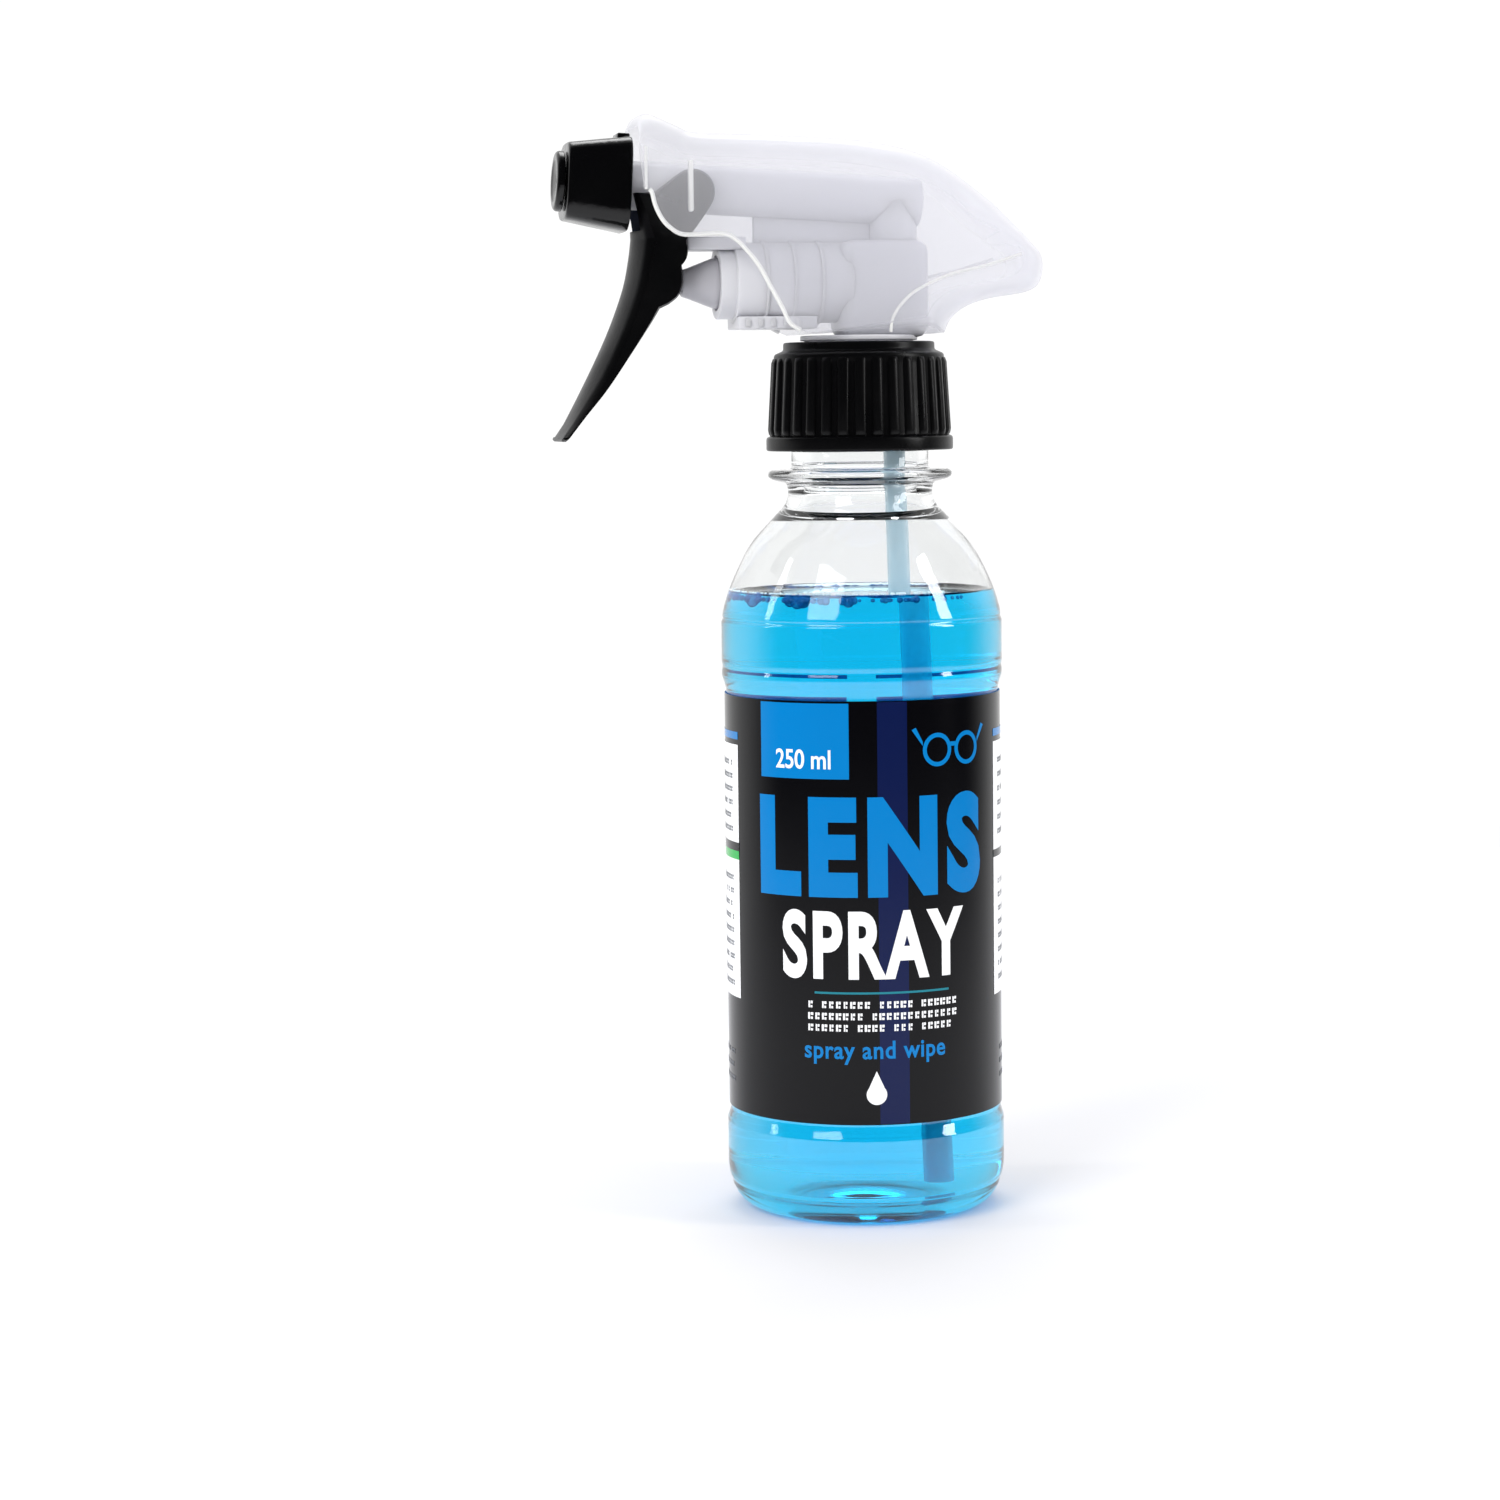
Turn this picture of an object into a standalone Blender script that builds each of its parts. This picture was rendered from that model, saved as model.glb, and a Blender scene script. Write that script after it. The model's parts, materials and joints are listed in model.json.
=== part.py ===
"""Trigger spray bottle for lens cleaner: bottle, wrap label, screw cap and trigger pump.

Sizes are in millimetres and become metres where a mesh is made. The origin is the centre of the
base pad, +Z is up along the bottle's axis, and the nozzle points along -X.
"""

from math import ceil, cos, pi, radians, sin, sqrt

import bmesh
import bpy
from mathutils import Matrix, Vector

MM = 0.001
GAP = 0.3  # clearance between pieces that touch or slide
STEPS = 36  # sides of the large round pieces
SIDES = 20  # sides of the small round pieces

# bottle
BODY_R = 26.5
PANEL_R = 25.7
HEEL_R = 26.4
STAND_R = 21.5
NECK_R = 13.6
BORE_R = 10.9
FINISH_R = 12.55
RING_R = 17.3
RING_Z = 137.6
LIP_Z = 157.0
PANEL_LOW, PANEL_HIGH = 18.6, 98.6
WALL = 0.8
PAD_R = 5.9
FLUID_Z = 116.0

# thread of neck and cap
PITCH = 4.0
THREAD_R = 0.8
NECK_THREAD_Z = 147.5
NECK_TURNS = 1.5
CAP_TURNS = 1.25

# wrap label
LABEL_R = 25.9
LABEL_THICK = 0.3
LABEL_SEAM = 3.0
VIEW_TURN = 12.0  # degrees from -Y to the middle of the label, towards the nozzle

# cap
CAP_LOW, CAP_HIGH = 143.0, 163.2
CAP_BORE = 14.3
CAP_HOLE = 10.6
CAP_BAND_R = 17.55
CAP_RIB_R = 17.3
CAP_TOP_R = 16.4
CAP_RING_R = 14.2
RIBS = 32

# pump
RISER_X = 6.6
CYLINDER_Z = 174.3
CYLINDER_R, CYLINDER_BORE = 7.5, 5.6
COLLAR_R, COLLAR_BORE = 6.2, 5.1
CYLINDER_FRONT, CYLINDER_END = -23.3, -4.6
COLLAR_FRONT = -26.6
BARREL_R, BARREL_BORE = 4.5, 2.8
TIP_R = 3.7
PIVOT = (-31.2, 191.2)  # x, z of the trigger's hinge
BARREL = (-31.2, 191.6)  # x, z of a point on the barrel's axis
NOZZLE_TILT = 3.5  # degrees that the barrel rises towards the nozzle
PIN_R = 1.7
TUBE_R, TUBE_BORE = 2.1, 1.5
TUBE_LOW = 4.5
BALL_R = 1.8
PISTON_R, PISTON_NOSE = 4.7, 3.2
PISTON_BACK = 12.4  # distance of the plunger's rear end from the bottle's axis
COLLAR_REACH = 30.7  # distance of the nose's centre from the bottle's axis
SPRING_BORE = 3.3

# along the barrel, from BARREL
BARREL_END, TIP_END = 12.0, 16.8
VALVE_SEAT = 2.2
NOZZLE_BACK, NOZZLE_FRONT, NOZZLE_BORE = 12.5, 24.1, 5.2
NOZZLE_BACK_HALF, NOZZLE_FRONT_HALF = 8.85, 7.1

# trigger
TRIGGER_HALF = 7.4
EAR_IN = 5.2
TRIGGER_CROWN = 2.5  # how far the middle of the blade stands in front of its edges

# shroud
SHROUD_HALF = 11.2
SHROUD_WALL = 1.2
SHROUD_ROUND = 5.5  # radius of the long edges of its roof and tail
SHROUD_SPINE = ((-60.0, 190.0), (18.0, 184.0), (2.0, 160.0))


def clear_scene():
    for obj in list(bpy.data.objects):
        bpy.data.objects.remove(obj, do_unlink=True)


def new_collection(name):
    made = bpy.data.collections.new(name)
    bpy.context.scene.collection.children.link(made)
    return made


def material(name, colour, roughness, metallic=0.0, alpha=1.0):
    made = bpy.data.materials.new(name)
    made.use_nodes = True
    shader = made.node_tree.nodes["Principled BSDF"]
    shader.inputs["Base Color"].default_value = (*colour, 1.0)
    shader.inputs["Roughness"].default_value = roughness
    shader.inputs["Metallic"].default_value = metallic
    shader.inputs["Alpha"].default_value = alpha
    return made


def add_object(name, mesh, look=None):
    """A piece when it has a material, and a hidden cutter when it has none."""
    obj = bpy.data.objects.new(name, mesh)
    if look:
        mesh.materials.append(look)
        parts.objects.link(obj)
        mesh.shade_smooth()
        mesh.set_sharp_from_angle(angle=radians(35))
    else:
        cutters.objects.link(obj)
        obj.hide_render = True
        obj.display_type = "WIRE"
    return obj


def mesh_from(bm, name):
    mesh = bpy.data.meshes.new(name)
    bm.to_mesh(mesh)
    bm.free()
    return mesh


def turned(name, profile, look=None, steps=STEPS, closed=False, frame=None):
    """Turns a profile of (radius, height) points, listed down its outer side, round +Z."""
    mesh = bpy.data.meshes.new(name)
    count = len(profile)
    edges = [(k, k + 1) for k in range(count - 1)] + ([(count - 1, 0)] if closed else [])
    mesh.from_pydata([(r * MM, 0, z * MM) for r, z in profile], edges, [])
    obj = add_object(name, mesh, look)
    screw = obj.modifiers.new("turn", "SCREW")
    screw.steps = steps
    screw.render_steps = steps
    screw.use_merge_vertices = True
    screw.merge_threshold = 0.00002
    screw.use_smooth_shade = True
    if frame:
        obj.matrix_world = frame
    return obj


def along_x(x, z, tilt=0.0):
    """A frame at (x, 0, z) whose +Z points forward to the nozzle, raised by tilt degrees."""
    place = Matrix.Translation((x * MM, 0, z * MM))
    return place @ Matrix.Rotation(radians(tilt), 4, "Y") @ Matrix.Rotation(-pi / 2, 4, "Y")


def rod(name, radius, low, high, look=None, sides=SIDES, frame=None, top=None):
    """A cylinder, or a cone when top is given, from low to high on its frame's +Z axis."""
    bm = bmesh.new()
    bmesh.ops.create_cone(
        bm, cap_ends=True, segments=sides, radius1=radius * MM,
        radius2=(radius if top is None else top) * MM, depth=(high - low) * MM,
    )
    bmesh.ops.translate(bm, verts=bm.verts, vec=(0, 0, (low + high) / 2 * MM))
    obj = add_object(name, mesh_from(bm, name), look)
    if frame:
        obj.matrix_world = frame
    return obj


def block(name, low, high, look=None, frame=None, bevel=0.0):
    bm = bmesh.new()
    bmesh.ops.create_cube(bm, size=1)
    size = [(b - a) * MM for a, b in zip(low, high)]
    middle = [(a + b) / 2 * MM for a, b in zip(low, high)]
    bmesh.ops.scale(bm, verts=bm.verts, vec=size)
    bmesh.ops.translate(bm, verts=bm.verts, vec=middle)
    obj = add_object(name, mesh_from(bm, name), look)
    if frame:
        obj.matrix_world = frame
    if bevel:
        soften(obj, bevel)
    return obj


def soften(obj, width, segments=2, angle=40):
    made = obj.modifiers.new("soften", "BEVEL")
    made.width = width * MM
    made.segments = segments
    made.limit_method = "ANGLE"
    made.angle_limit = radians(angle)
    return obj


def combine(obj, other, operation):
    made = obj.modifiers.new(other.name, "BOOLEAN")
    made.object = other
    made.operation = operation
    made.solver = "EXACT"
    return obj


def cut(obj, *others):
    for other in others:
        combine(obj, other, "DIFFERENCE")
    return obj


def join(obj, *others):
    for other in others:
        combine(obj, other, "UNION")
    return obj


def meshed(curve_obj, name, look=None):
    """The curve's evaluated mesh as an object of its own, with its caps welded on."""
    bpy.context.view_layer.update()
    graph = bpy.context.evaluated_depsgraph_get()
    mesh = bpy.data.meshes.new_from_object(curve_obj.evaluated_get(graph))
    mesh.materials.clear()
    bm = bmesh.new()
    bm.from_mesh(mesh)
    bmesh.ops.remove_doubles(bm, verts=bm.verts, dist=0.000002)
    bmesh.ops.recalc_face_normals(bm, faces=bm.faces)
    bm.to_mesh(mesh)
    bm.free()
    obj = add_object(name, mesh, look)
    obj.matrix_world = curve_obj.matrix_world
    bpy.data.objects.remove(curve_obj, do_unlink=True)
    return obj


def wire(name, points, radius, look=None, resolution=2, frame=None):
    """A round bar along points, in millimetres, with filled caps."""
    curve = bpy.data.curves.new(name, "CURVE")
    curve.dimensions = "3D"
    curve.bevel_depth = radius * MM
    curve.bevel_resolution = resolution
    curve.use_fill_caps = True
    spline = curve.splines.new("POLY")
    spline.points.add(len(points) - 1)
    for point, place in zip(spline.points, points):
        point.co = (*[c * MM for c in place], 1)
    guide = bpy.data.objects.new(name + "_curve", curve)
    cutters.objects.link(guide)
    if frame:
        guide.matrix_world = frame
    return meshed(guide, name, look)


def plate(name, outlines, half, look=None):
    """Outlines of (x, z) points, filled and extruded by half to each side of the XZ plane."""
    curve = bpy.data.curves.new(name, "CURVE")
    curve.dimensions = "2D"
    curve.fill_mode = "BOTH"
    curve.extrude = half * MM
    for outline in outlines:
        spline = curve.splines.new("POLY")
        spline.points.add(len(outline) - 1)
        spline.use_cyclic_u = True
        for point, (x, z) in zip(spline.points, outline):
            point.co = (x * MM, z * MM, 0, 1)
    guide = bpy.data.objects.new(name + "_curve", curve)
    cutters.objects.link(guide)
    guide.matrix_world = Matrix.Rotation(pi / 2, 4, "X")
    return meshed(guide, name, look)


def loft(name, rings, look=None):
    """A closed solid through rings of (x, y, z) points, one after the other along +Y."""
    bm = bmesh.new()
    made = [[bm.verts.new([c * MM for c in point]) for point in ring] for ring in rings]
    count = len(rings[0])
    for first, second in zip(made, made[1:]):
        for k in range(count):
            after = (k + 1) % count
            bm.faces.new((first[k], first[after], second[after], second[k]))
    bmesh.ops.triangulate(bm, faces=bm.faces)
    bm.faces.new(made[0])
    bm.faces.new(made[-1])
    bmesh.ops.recalc_face_normals(bm, faces=bm.faces)
    return add_object(name, mesh_from(bm, name), look)


def arc(x, z, radius, start, end, steps):
    """Points of a circle in the XZ plane, from start to end degrees."""
    turns = [radians(start + (end - start) * k / steps) for k in range(steps + 1)]
    return [(x + radius * cos(a), z + radius * sin(a)) for a in turns]


def rounded(points, steps):
    """A smooth curve through points, with steps pieces between each two."""
    ends = [points[0], *points, points[-1]]
    found = []
    for a, b, c, d in zip(ends, ends[1:], ends[2:], ends[3:]):
        for k in range(steps):
            t = k / steps
            found.append(tuple(
                0.5 * (2 * q + (r - p) * t + (2 * p - 5 * q + 4 * r - s) * t * t
                       + (3 * q - p - 3 * r + s) * t ** 3)
                for p, q, r, s in zip(a, b, c, d)
            ))
    return found + [points[-1]]


def inset(profile, distance):
    """Moves a turned profile, listed down its outer side, inwards by distance."""
    moved = []
    for k, here in enumerate(profile):
        here = Vector(here)
        before = here - Vector(profile[k - 1]) if k else Vector(profile[1]) - here
        after = Vector(profile[k + 1]) - here if k < len(profile) - 1 else before
        way = (before.normalized() + after.normalized()).normalized()
        square = max(0.6, (1 + before.normalized().dot(after.normalized())) / 2)
        moved.append(tuple(here + Vector((way.y, -way.x)) * distance / sqrt(square)))
    return moved


def helix(radius, pitch, turns, low, start=0.0, per_turn=20):
    count = ceil(turns * per_turn)
    return [
        (radius * cos(start + a), radius * sin(start + a), low + pitch * a / (2 * pi))
        for a in (turns * 2 * pi * k / count for k in range(count + 1))
    ]


def bottle_outline():
    """The blown body's outer profile, from the root of the neck to the middle of the base."""
    shoulder = [
        (NECK_R, 134.6), (14.3, 132.9), (16.9, 130.0), (20.5, 126.0), (23.1, 121.3),
        (25.0, 117.0), (26.2, 113.2), (BODY_R, 111.0),
    ]
    panel = [
        (BODY_R, 101.4), (BODY_R - 0.2, 100.2), (PANEL_R, PANEL_HIGH),
        (PANEL_R, PANEL_LOW), (HEEL_R - 0.2, 17.2), (HEEL_R, 16.0),
    ]
    heel_high = 7.5
    heel = [
        (STAND_R + (HEEL_R - STAND_R) * cos(a), heel_high - heel_high * sin(a))
        for a in (pi / 2 * k / 4 for k in range(5))
    ]
    underside = [(STAND_R - 1.7, 0.0), (17.0, 1.9), (9.0, 2.4), (PAD_R, 0.0), (0.0, 0.0)]
    return shoulder + panel + heel + underside


def make_bottle(outline):
    lip = [(BORE_R + 0.3, LIP_Z), (FINISH_R - 0.4, LIP_Z), (FINISH_R, LIP_Z - 0.4)]
    transfer = [(FINISH_R, 145.3), (13.35, 144.5), (13.35, RING_Z + 1.8)]
    ring = [
        (RING_R - 0.5, RING_Z + 1.6), (RING_R, RING_Z + 1.2), (RING_R, RING_Z + 0.4),
        (RING_R - 0.5, RING_Z), (NECK_R + 0.2, RING_Z - 0.7),
    ]
    inner = inset(outline, WALL)
    inner[-1] = (0.0, WALL)
    bore = [(BORE_R, 138.6), (BORE_R, LIP_Z - 0.3)]
    bottle = turned("bottle", inner[::-1] + bore + lip + transfer + ring + outline, clear_pet)
    thread = wire(
        "neck_thread", helix(FINISH_R - 0.05, PITCH, NECK_TURNS, NECK_THREAD_Z), THREAD_R, resolution=1)
    return join(bottle, thread)


def make_fluid(outline):
    """The liquid, to its fill line, with a way through it for the dip tube."""
    wall = inset(outline, WALL + GAP)
    wet = [point for point in wall if point[1] < FLUID_Z]
    wet[-1] = (0.0, WALL + GAP)
    above, below = wall[len(wall) - len(wet) - 1], wet[0]
    share = (FLUID_Z - below[1]) / (above[1] - below[1])
    brim = (below[0] + (above[0] - below[0]) * share, FLUID_Z)
    fluid = turned("cleaning_fluid", [(0.0, FLUID_Z), brim] + wet, blue_fluid)
    way = tube_route()
    way[-1] = (way[-1][0], 0.0, way[-1][2] - GAP)
    return cut(fluid, wire("tube_way", way, TUBE_R + GAP))


def make_label():
    low, high = PANEL_LOW + 0.7, PANEL_HIGH - 0.9
    outer = LABEL_R + LABEL_THICK
    sleeve = turned(
        "wrap_label", [(LABEL_R, high), (outer, high), (outer, low), (LABEL_R, low)],
        label_film, steps=STEPS, closed=True)
    turn = Matrix.Rotation(radians(-VIEW_TURN), 4, "Z")
    seam = block(
        "label_seam", (-LABEL_SEAM / 2, LABEL_R - 4, low - 1), (LABEL_SEAM / 2, LABEL_R + 4, high + 1),
        frame=turn)
    return cut(sleeve, seam)


def make_gasket():
    low, high = LIP_Z + GAP, LIP_Z + GAP + 1.3
    return turned(
        "neck_gasket", [(BORE_R, high), (13.3, high), (13.3, low), (BORE_R, low)],
        soft_white, closed=True)


def make_cap():
    inside = LIP_Z + 3.5
    cap = turned("screw_cap", [
        (CAP_HOLE, inside), (CAP_HOLE, CAP_HIGH - 0.3), (CAP_HOLE + 0.3, CAP_HIGH),
        (CAP_RING_R - 0.3, CAP_HIGH), (CAP_RING_R, CAP_HIGH - 0.3), (CAP_RING_R, 161.6),
        (15.1, 161.3), (CAP_TOP_R - 0.3, 160.2), (CAP_TOP_R - 0.3, 159.2), (16.6, CAP_LOW + 2.6),
        (CAP_BAND_R - 0.2, CAP_LOW + 2.6), (CAP_BAND_R, CAP_LOW + 2.3), (CAP_BAND_R, CAP_LOW + 0.3),
        (CAP_BAND_R - 0.3, CAP_LOW), (CAP_BORE + 0.3, CAP_LOW), (CAP_BORE, CAP_LOW + 0.3),
        (CAP_BORE, inside),
    ], black_pp, closed=True)
    crest = []
    for k in range(RIBS):
        for share, depth in ((0.0, 0.1), (0.18, 0.0), (0.5, 0.85), (0.82, 0.0)):
            turn = 2 * pi * (k + share) / RIBS
            crest.append(((CAP_RIB_R - depth) * cos(turn), (CAP_RIB_R - depth) * sin(turn)))
    bore = [(15.3 * cos(a), 15.3 * sin(a)) for a in (2 * pi * k / STEPS for k in range(STEPS))]
    ribs = plate("cap_ribs", [crest, bore], 1.0)
    low, high = CAP_LOW + 2.2, 159.8
    for vertex in ribs.data.vertices:
        x, y, z = vertex.co
        lift = high if z > 0 else low
        narrow = 1.0 - (CAP_RIB_R - CAP_TOP_R) / CAP_RIB_R * (lift - low) / (high - low)
        vertex.co = (x * narrow, y * narrow, lift * MM)
    ribs.matrix_world = Matrix.Identity(4)
    first = NECK_THREAD_Z + PITCH / 2
    thread = wire(
        "cap_thread", helix(CAP_BORE + 0.05, PITCH, CAP_TURNS, first), THREAD_R, resolution=1)
    return join(cap, ribs, thread)


def tube_route():
    """The dip tube's middle line, from the pump down to its open foot."""
    return rounded(
        [(RISER_X, 0, 160.6), (RISER_X, 0, 149.0), (7.4, 0, 118.0), (8.9, 0, 60.0),
         (10.3, 0, TUBE_LOW)], 3)


def make_tube():
    route = tube_route()
    bore = [(RISER_X, 0, route[0][2] + 1), *route[1:-1], (route[-1][0], 0, TUBE_LOW - 1)]
    tube = wire("dip_tube", route, TUBE_R, natural_pe)
    return cut(tube, wire("tube_bore", bore, TUBE_BORE, resolution=1))


def make_retainer():
    """The valve seat under the pump: it clamps the gasket and holds the dip tube."""
    low, high = LIP_Z + 1.9, LIP_Z + 3.1
    riser = Matrix.Translation((RISER_X * MM, 0, 0))
    retainer = rod("tube_retainer", 13.3, low, high, natural_pp, sides=STEPS)
    join(
        retainer,
        rod("retainer_socket", TUBE_R + 1.6, 150.0, low + 0.5, frame=riser),
        rod("retainer_chimney", 3.4, high - 0.5, 168.0, frame=riser),
    )
    return cut(
        retainer,
        rod("socket_bore", TUBE_R + 0.25, 149.0, 161.0, frame=riser),
        rod("seat_hole", 1.2, 160.5, 164.0, frame=riser),
        rod("ball_chamber", BALL_R + 0.5, 163.0, 169.0, frame=riser),
    )


def make_ball():
    bm = bmesh.new()
    bmesh.ops.create_uvsphere(bm, u_segments=14, v_segments=8, radius=BALL_R * MM)
    ball = add_object("inlet_ball", mesh_from(bm, "inlet_ball"), glass_ball)
    ball.location = (RISER_X * MM, 0, 164.7 * MM)
    return ball


def make_pump_body():
    """Base, tower, pump cylinder and barrel, moulded as one piece."""
    riser = Matrix.Translation((RISER_X * MM, 0, 0))
    pump = along_x(0, CYLINDER_Z)
    barrel = along_x(*BARREL, NOZZLE_TILT)
    pin = Matrix.Translation((PIVOT[0] * MM, 0, PIVOT[1] * MM)) @ Matrix.Rotation(pi / 2, 4, "X")
    body = rod("pump_body", 10.2, LIP_Z + 3.4, 164.0, natural_pp, sides=STEPS)
    join(
        body,
        rod("body_flange", 11.0, CAP_HIGH + GAP, 164.4, sides=STEPS),
        block("body_tower", (-8.0, -6.9, 163.8), (12.4, 6.9, 182.0), bevel=1.5),
        rod("body_cylinder", CYLINDER_R, 2.0, -CYLINDER_FRONT, frame=pump, sides=28),
        rod("body_collar", COLLAR_R, -CYLINDER_FRONT - 1, -COLLAR_FRONT, frame=pump, sides=28),
        rod("body_riser", 4.6, 181.0, 188.6, frame=riser),
        rod("body_barrel", BARREL_R, -43.0, BARREL_END, frame=barrel),
        rod("body_tip", TIP_R, BARREL_END - 1, TIP_END, frame=barrel),
        block("body_web", (-20.0, -0.9, 180.0), (4.0, 0.9, 188.0)),
        block("body_stop", (-33.0, -4.6, 180.3), (-22.0, 4.6, 182.7)),
        rod("body_pins", PIN_R, -TRIGGER_HALF, TRIGGER_HALF, frame=pin, sides=16),
    )
    return cut(
        body,
        rod("riser_socket", 3.4 + GAP, 159.0, 169.5, frame=riser),
        rod("riser_bore", 1.6, 168.0, 188.8, frame=riser, sides=12),
        rod("cylinder_bore", CYLINDER_BORE, -CYLINDER_END, -CYLINDER_FRONT, frame=pump, sides=28),
        rod("collar_bore", COLLAR_BORE, -CYLINDER_FRONT - 1, 30.0, frame=pump, sides=28),
        rod("pump_port", 1.0, -RISER_X, -CYLINDER_END + 1, frame=pump, sides=12),
        rod("valve_bore", BARREL_BORE, VALVE_SEAT, TIP_END + 1, frame=barrel, sides=16),
        rod("barrel_bore", 1.5, -38.6, VALVE_SEAT + 1, frame=barrel, sides=12),
    )


def make_piston():
    """A hollow plunger with a domed nose that the trigger pushes."""
    nose = [(r, COLLAR_REACH + z) for r, z in arc(0, 0, PISTON_NOSE, 90, 15, 5)]
    nose[0] = (0.0, nose[0][1])
    return turned("piston_rod", nose + [
        (PISTON_R, -COLLAR_FRONT + 0.3), (PISTON_R, 18.0), (4.1, 17.6), (4.1, PISTON_BACK),
        (SPRING_BORE, PISTON_BACK), (SPRING_BORE, 24.4), (0.0, 24.4),
    ], natural_pp, steps=24, frame=along_x(0, CYLINDER_Z))


def make_piston_seal():
    """The two-lipped ring that wipes the cylinder."""
    inner, waist, lip = 4.4, 4.9, CYLINDER_BORE - 0.25
    low, high = PISTON_BACK, PISTON_BACK + 4.9
    return turned("piston_seal", [
        (inner, high), (waist, high), (lip, high - 0.7), (lip, high - 1.2), (waist, high - 1.9),
        (waist, low + 1.9), (lip, low + 1.2), (lip, low + 0.7), (waist, low), (inner, low),
    ], soft_white, steps=24, closed=True, frame=along_x(0, CYLINDER_Z))


def make_return_spring():
    low, high, turns = -CYLINDER_END + 0.75, 23.7, 6.5
    return wire(
        "return_spring", helix(SPRING_BORE - 0.85, (high - low) / turns, turns, low, per_turn=12),
        0.4, spring_steel, resolution=1, frame=along_x(0, CYLINDER_Z))


def make_trigger():
    """A curved blade with a crowned front, under two ears which hang on the barrel's pins."""
    px, pz = PIVOT
    front = [(-41.4, 190.8)] + rounded(
        [(-42.4, 182.4), (-43.3, 178.6), (-44.5, 173.4), (-46.8, 167.0), (-49.3, 161.4),
         (-52.5, 155.0), (-55.8, 148.6)], 2) + [(-57.3, 146.2)]
    back = [(-56.4, 145.3)] + rounded(
        [(-55.6, 146.2), (-52.9, 149.6), (-48.6, 154.8), (-44.0, 161.4), (-40.5, 166.6),
         (-38.7, 169.8)], 2)
    heel = rounded([(-37.0, 170.2), (-35.3, 171.6), (-34.4, 174.0), (-34.4, 176.6)], 2)
    knee = [(-33.4, 179.4), (-33.6, 181.4), (-31.6, 183.0), (-30.0, 185.4)]
    hub = arc(px, pz, 4.1, -40, 118, 8)
    rings = []
    for share in (-1.0, -0.75, -0.4, 0.0, 0.4, 0.75, 1.0):
        crown = TRIGGER_CROWN * share * share
        fore = [(x + crown * min(1.0, (190.8 - z) / 7, (z - 143.0) / 14), z) for x, z in front]
        outline = fore + back + heel + knee + hub + [(-38.4, 191.9)]
        rings.append([(x, share * TRIGGER_HALF, z) for x, z in outline])
    trigger = loft("trigger", rings, black_pp)
    pin = Matrix.Translation((px * MM, 0, pz * MM)) @ Matrix.Rotation(pi / 2, 4, "X")
    return cut(
        trigger,
        block("ear_space", (-50.0, -EAR_IN, 183.8), (-20.0, EAR_IN, 200.0)),
        block("stop_space", (-38.0, -5.0, 178.2), (-20.0, 5.0, 184.5)),
        rod("ear_holes", PIN_R + GAP, -10.0, 10.0, frame=pin, sides=16),
    )


def make_nozzle():
    """The turning cap on the barrel: a round cone with four flats to grip."""
    barrel = along_x(*BARREL, NOZZLE_TILT)
    back, front = NOZZLE_BACK, NOZZLE_FRONT
    nozzle = rod("nozzle_cap", 10.5, back, front, black_pp, sides=32, frame=barrel, top=8.4)
    grip = rod(
        "nozzle_flats", NOZZLE_BACK_HALF * sqrt(2), back, front, sides=4, frame=barrel,
        top=NOZZLE_FRONT_HALF * sqrt(2))
    for vertex in grip.data.vertices:
        x, y, z = vertex.co
        vertex.co = ((x - y) / sqrt(2), (x + y) / sqrt(2), z)
    combine(nozzle, grip, "INTERSECT")
    return cut(
        nozzle,
        rod("nozzle_bore", NOZZLE_BORE, back - 1, back + 10.0, frame=barrel, sides=28),
        rod("nozzle_hole", 1.0, back + 9.0, front + 1, frame=barrel, sides=12),
    )


def make_orifice():
    barrel = along_x(*BARREL, NOZZLE_TILT)
    low, high = NOZZLE_FRONT + GAP, NOZZLE_FRONT + 1.8
    return turned("orifice_disc", [
        (0.5, high - 0.5), (3.6, high), (5.1, high), (5.55, high - 0.5), (5.55, low), (0.5, low),
    ], black_pp, steps=28, closed=True, frame=barrel)


def make_nozzle_seal():
    """The O-ring between barrel tip and nozzle."""
    section = arc(4.4, 14.2, 0.42, 180, -135, 7)
    return turned(
        "nozzle_seal", section, dark_rubber, steps=20, closed=True,
        frame=along_x(*BARREL, NOZZLE_TILT))


def make_spin_core():
    """The swirl insert: a head with two slots on a stem in the barrel."""
    barrel = along_x(*BARREL, NOZZLE_TILT)
    low = TIP_END + GAP
    core = rod("spin_core", 4.6, low, low + 3.2, natural_pp, sides=20, frame=barrel)
    join(core, rod("core_stem", 2.4, 7.0, low + 1, frame=barrel, sides=16))
    return cut(
        core,
        block("core_slot_across", (-0.5, -6, low + 2.2), (0.5, 6, low + 4), frame=barrel),
        block("core_slot_along", (-6, -0.5, low + 2.2), (6, 0.5, low + 4), frame=barrel),
        rod("core_spring_seat", 1.7, 6.0, 8.5, frame=barrel, sides=12),
    )


def make_outlet_valve():
    low = VALVE_SEAT + GAP
    return turned("outlet_valve", [
        (0.0, low + 2.2), (1.0, low + 2.2), (1.0, low + 1.0), (2.3, low + 1.0), (2.3, low),
        (1.0, low), (0.7, low - 0.8), (0.0, low - 0.8),
    ], soft_white, steps=16, frame=along_x(*BARREL, NOZZLE_TILT))


def make_outlet_spring():
    low, turns = VALVE_SEAT + GAP + 1.45, 3.5
    return wire(
        "outlet_spring", helix(1.4, (8.2 - low) / turns, turns, low, per_turn=8), 0.2,
        spring_steel, resolution=0, frame=along_x(*BARREL, NOZZLE_TILT))


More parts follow.
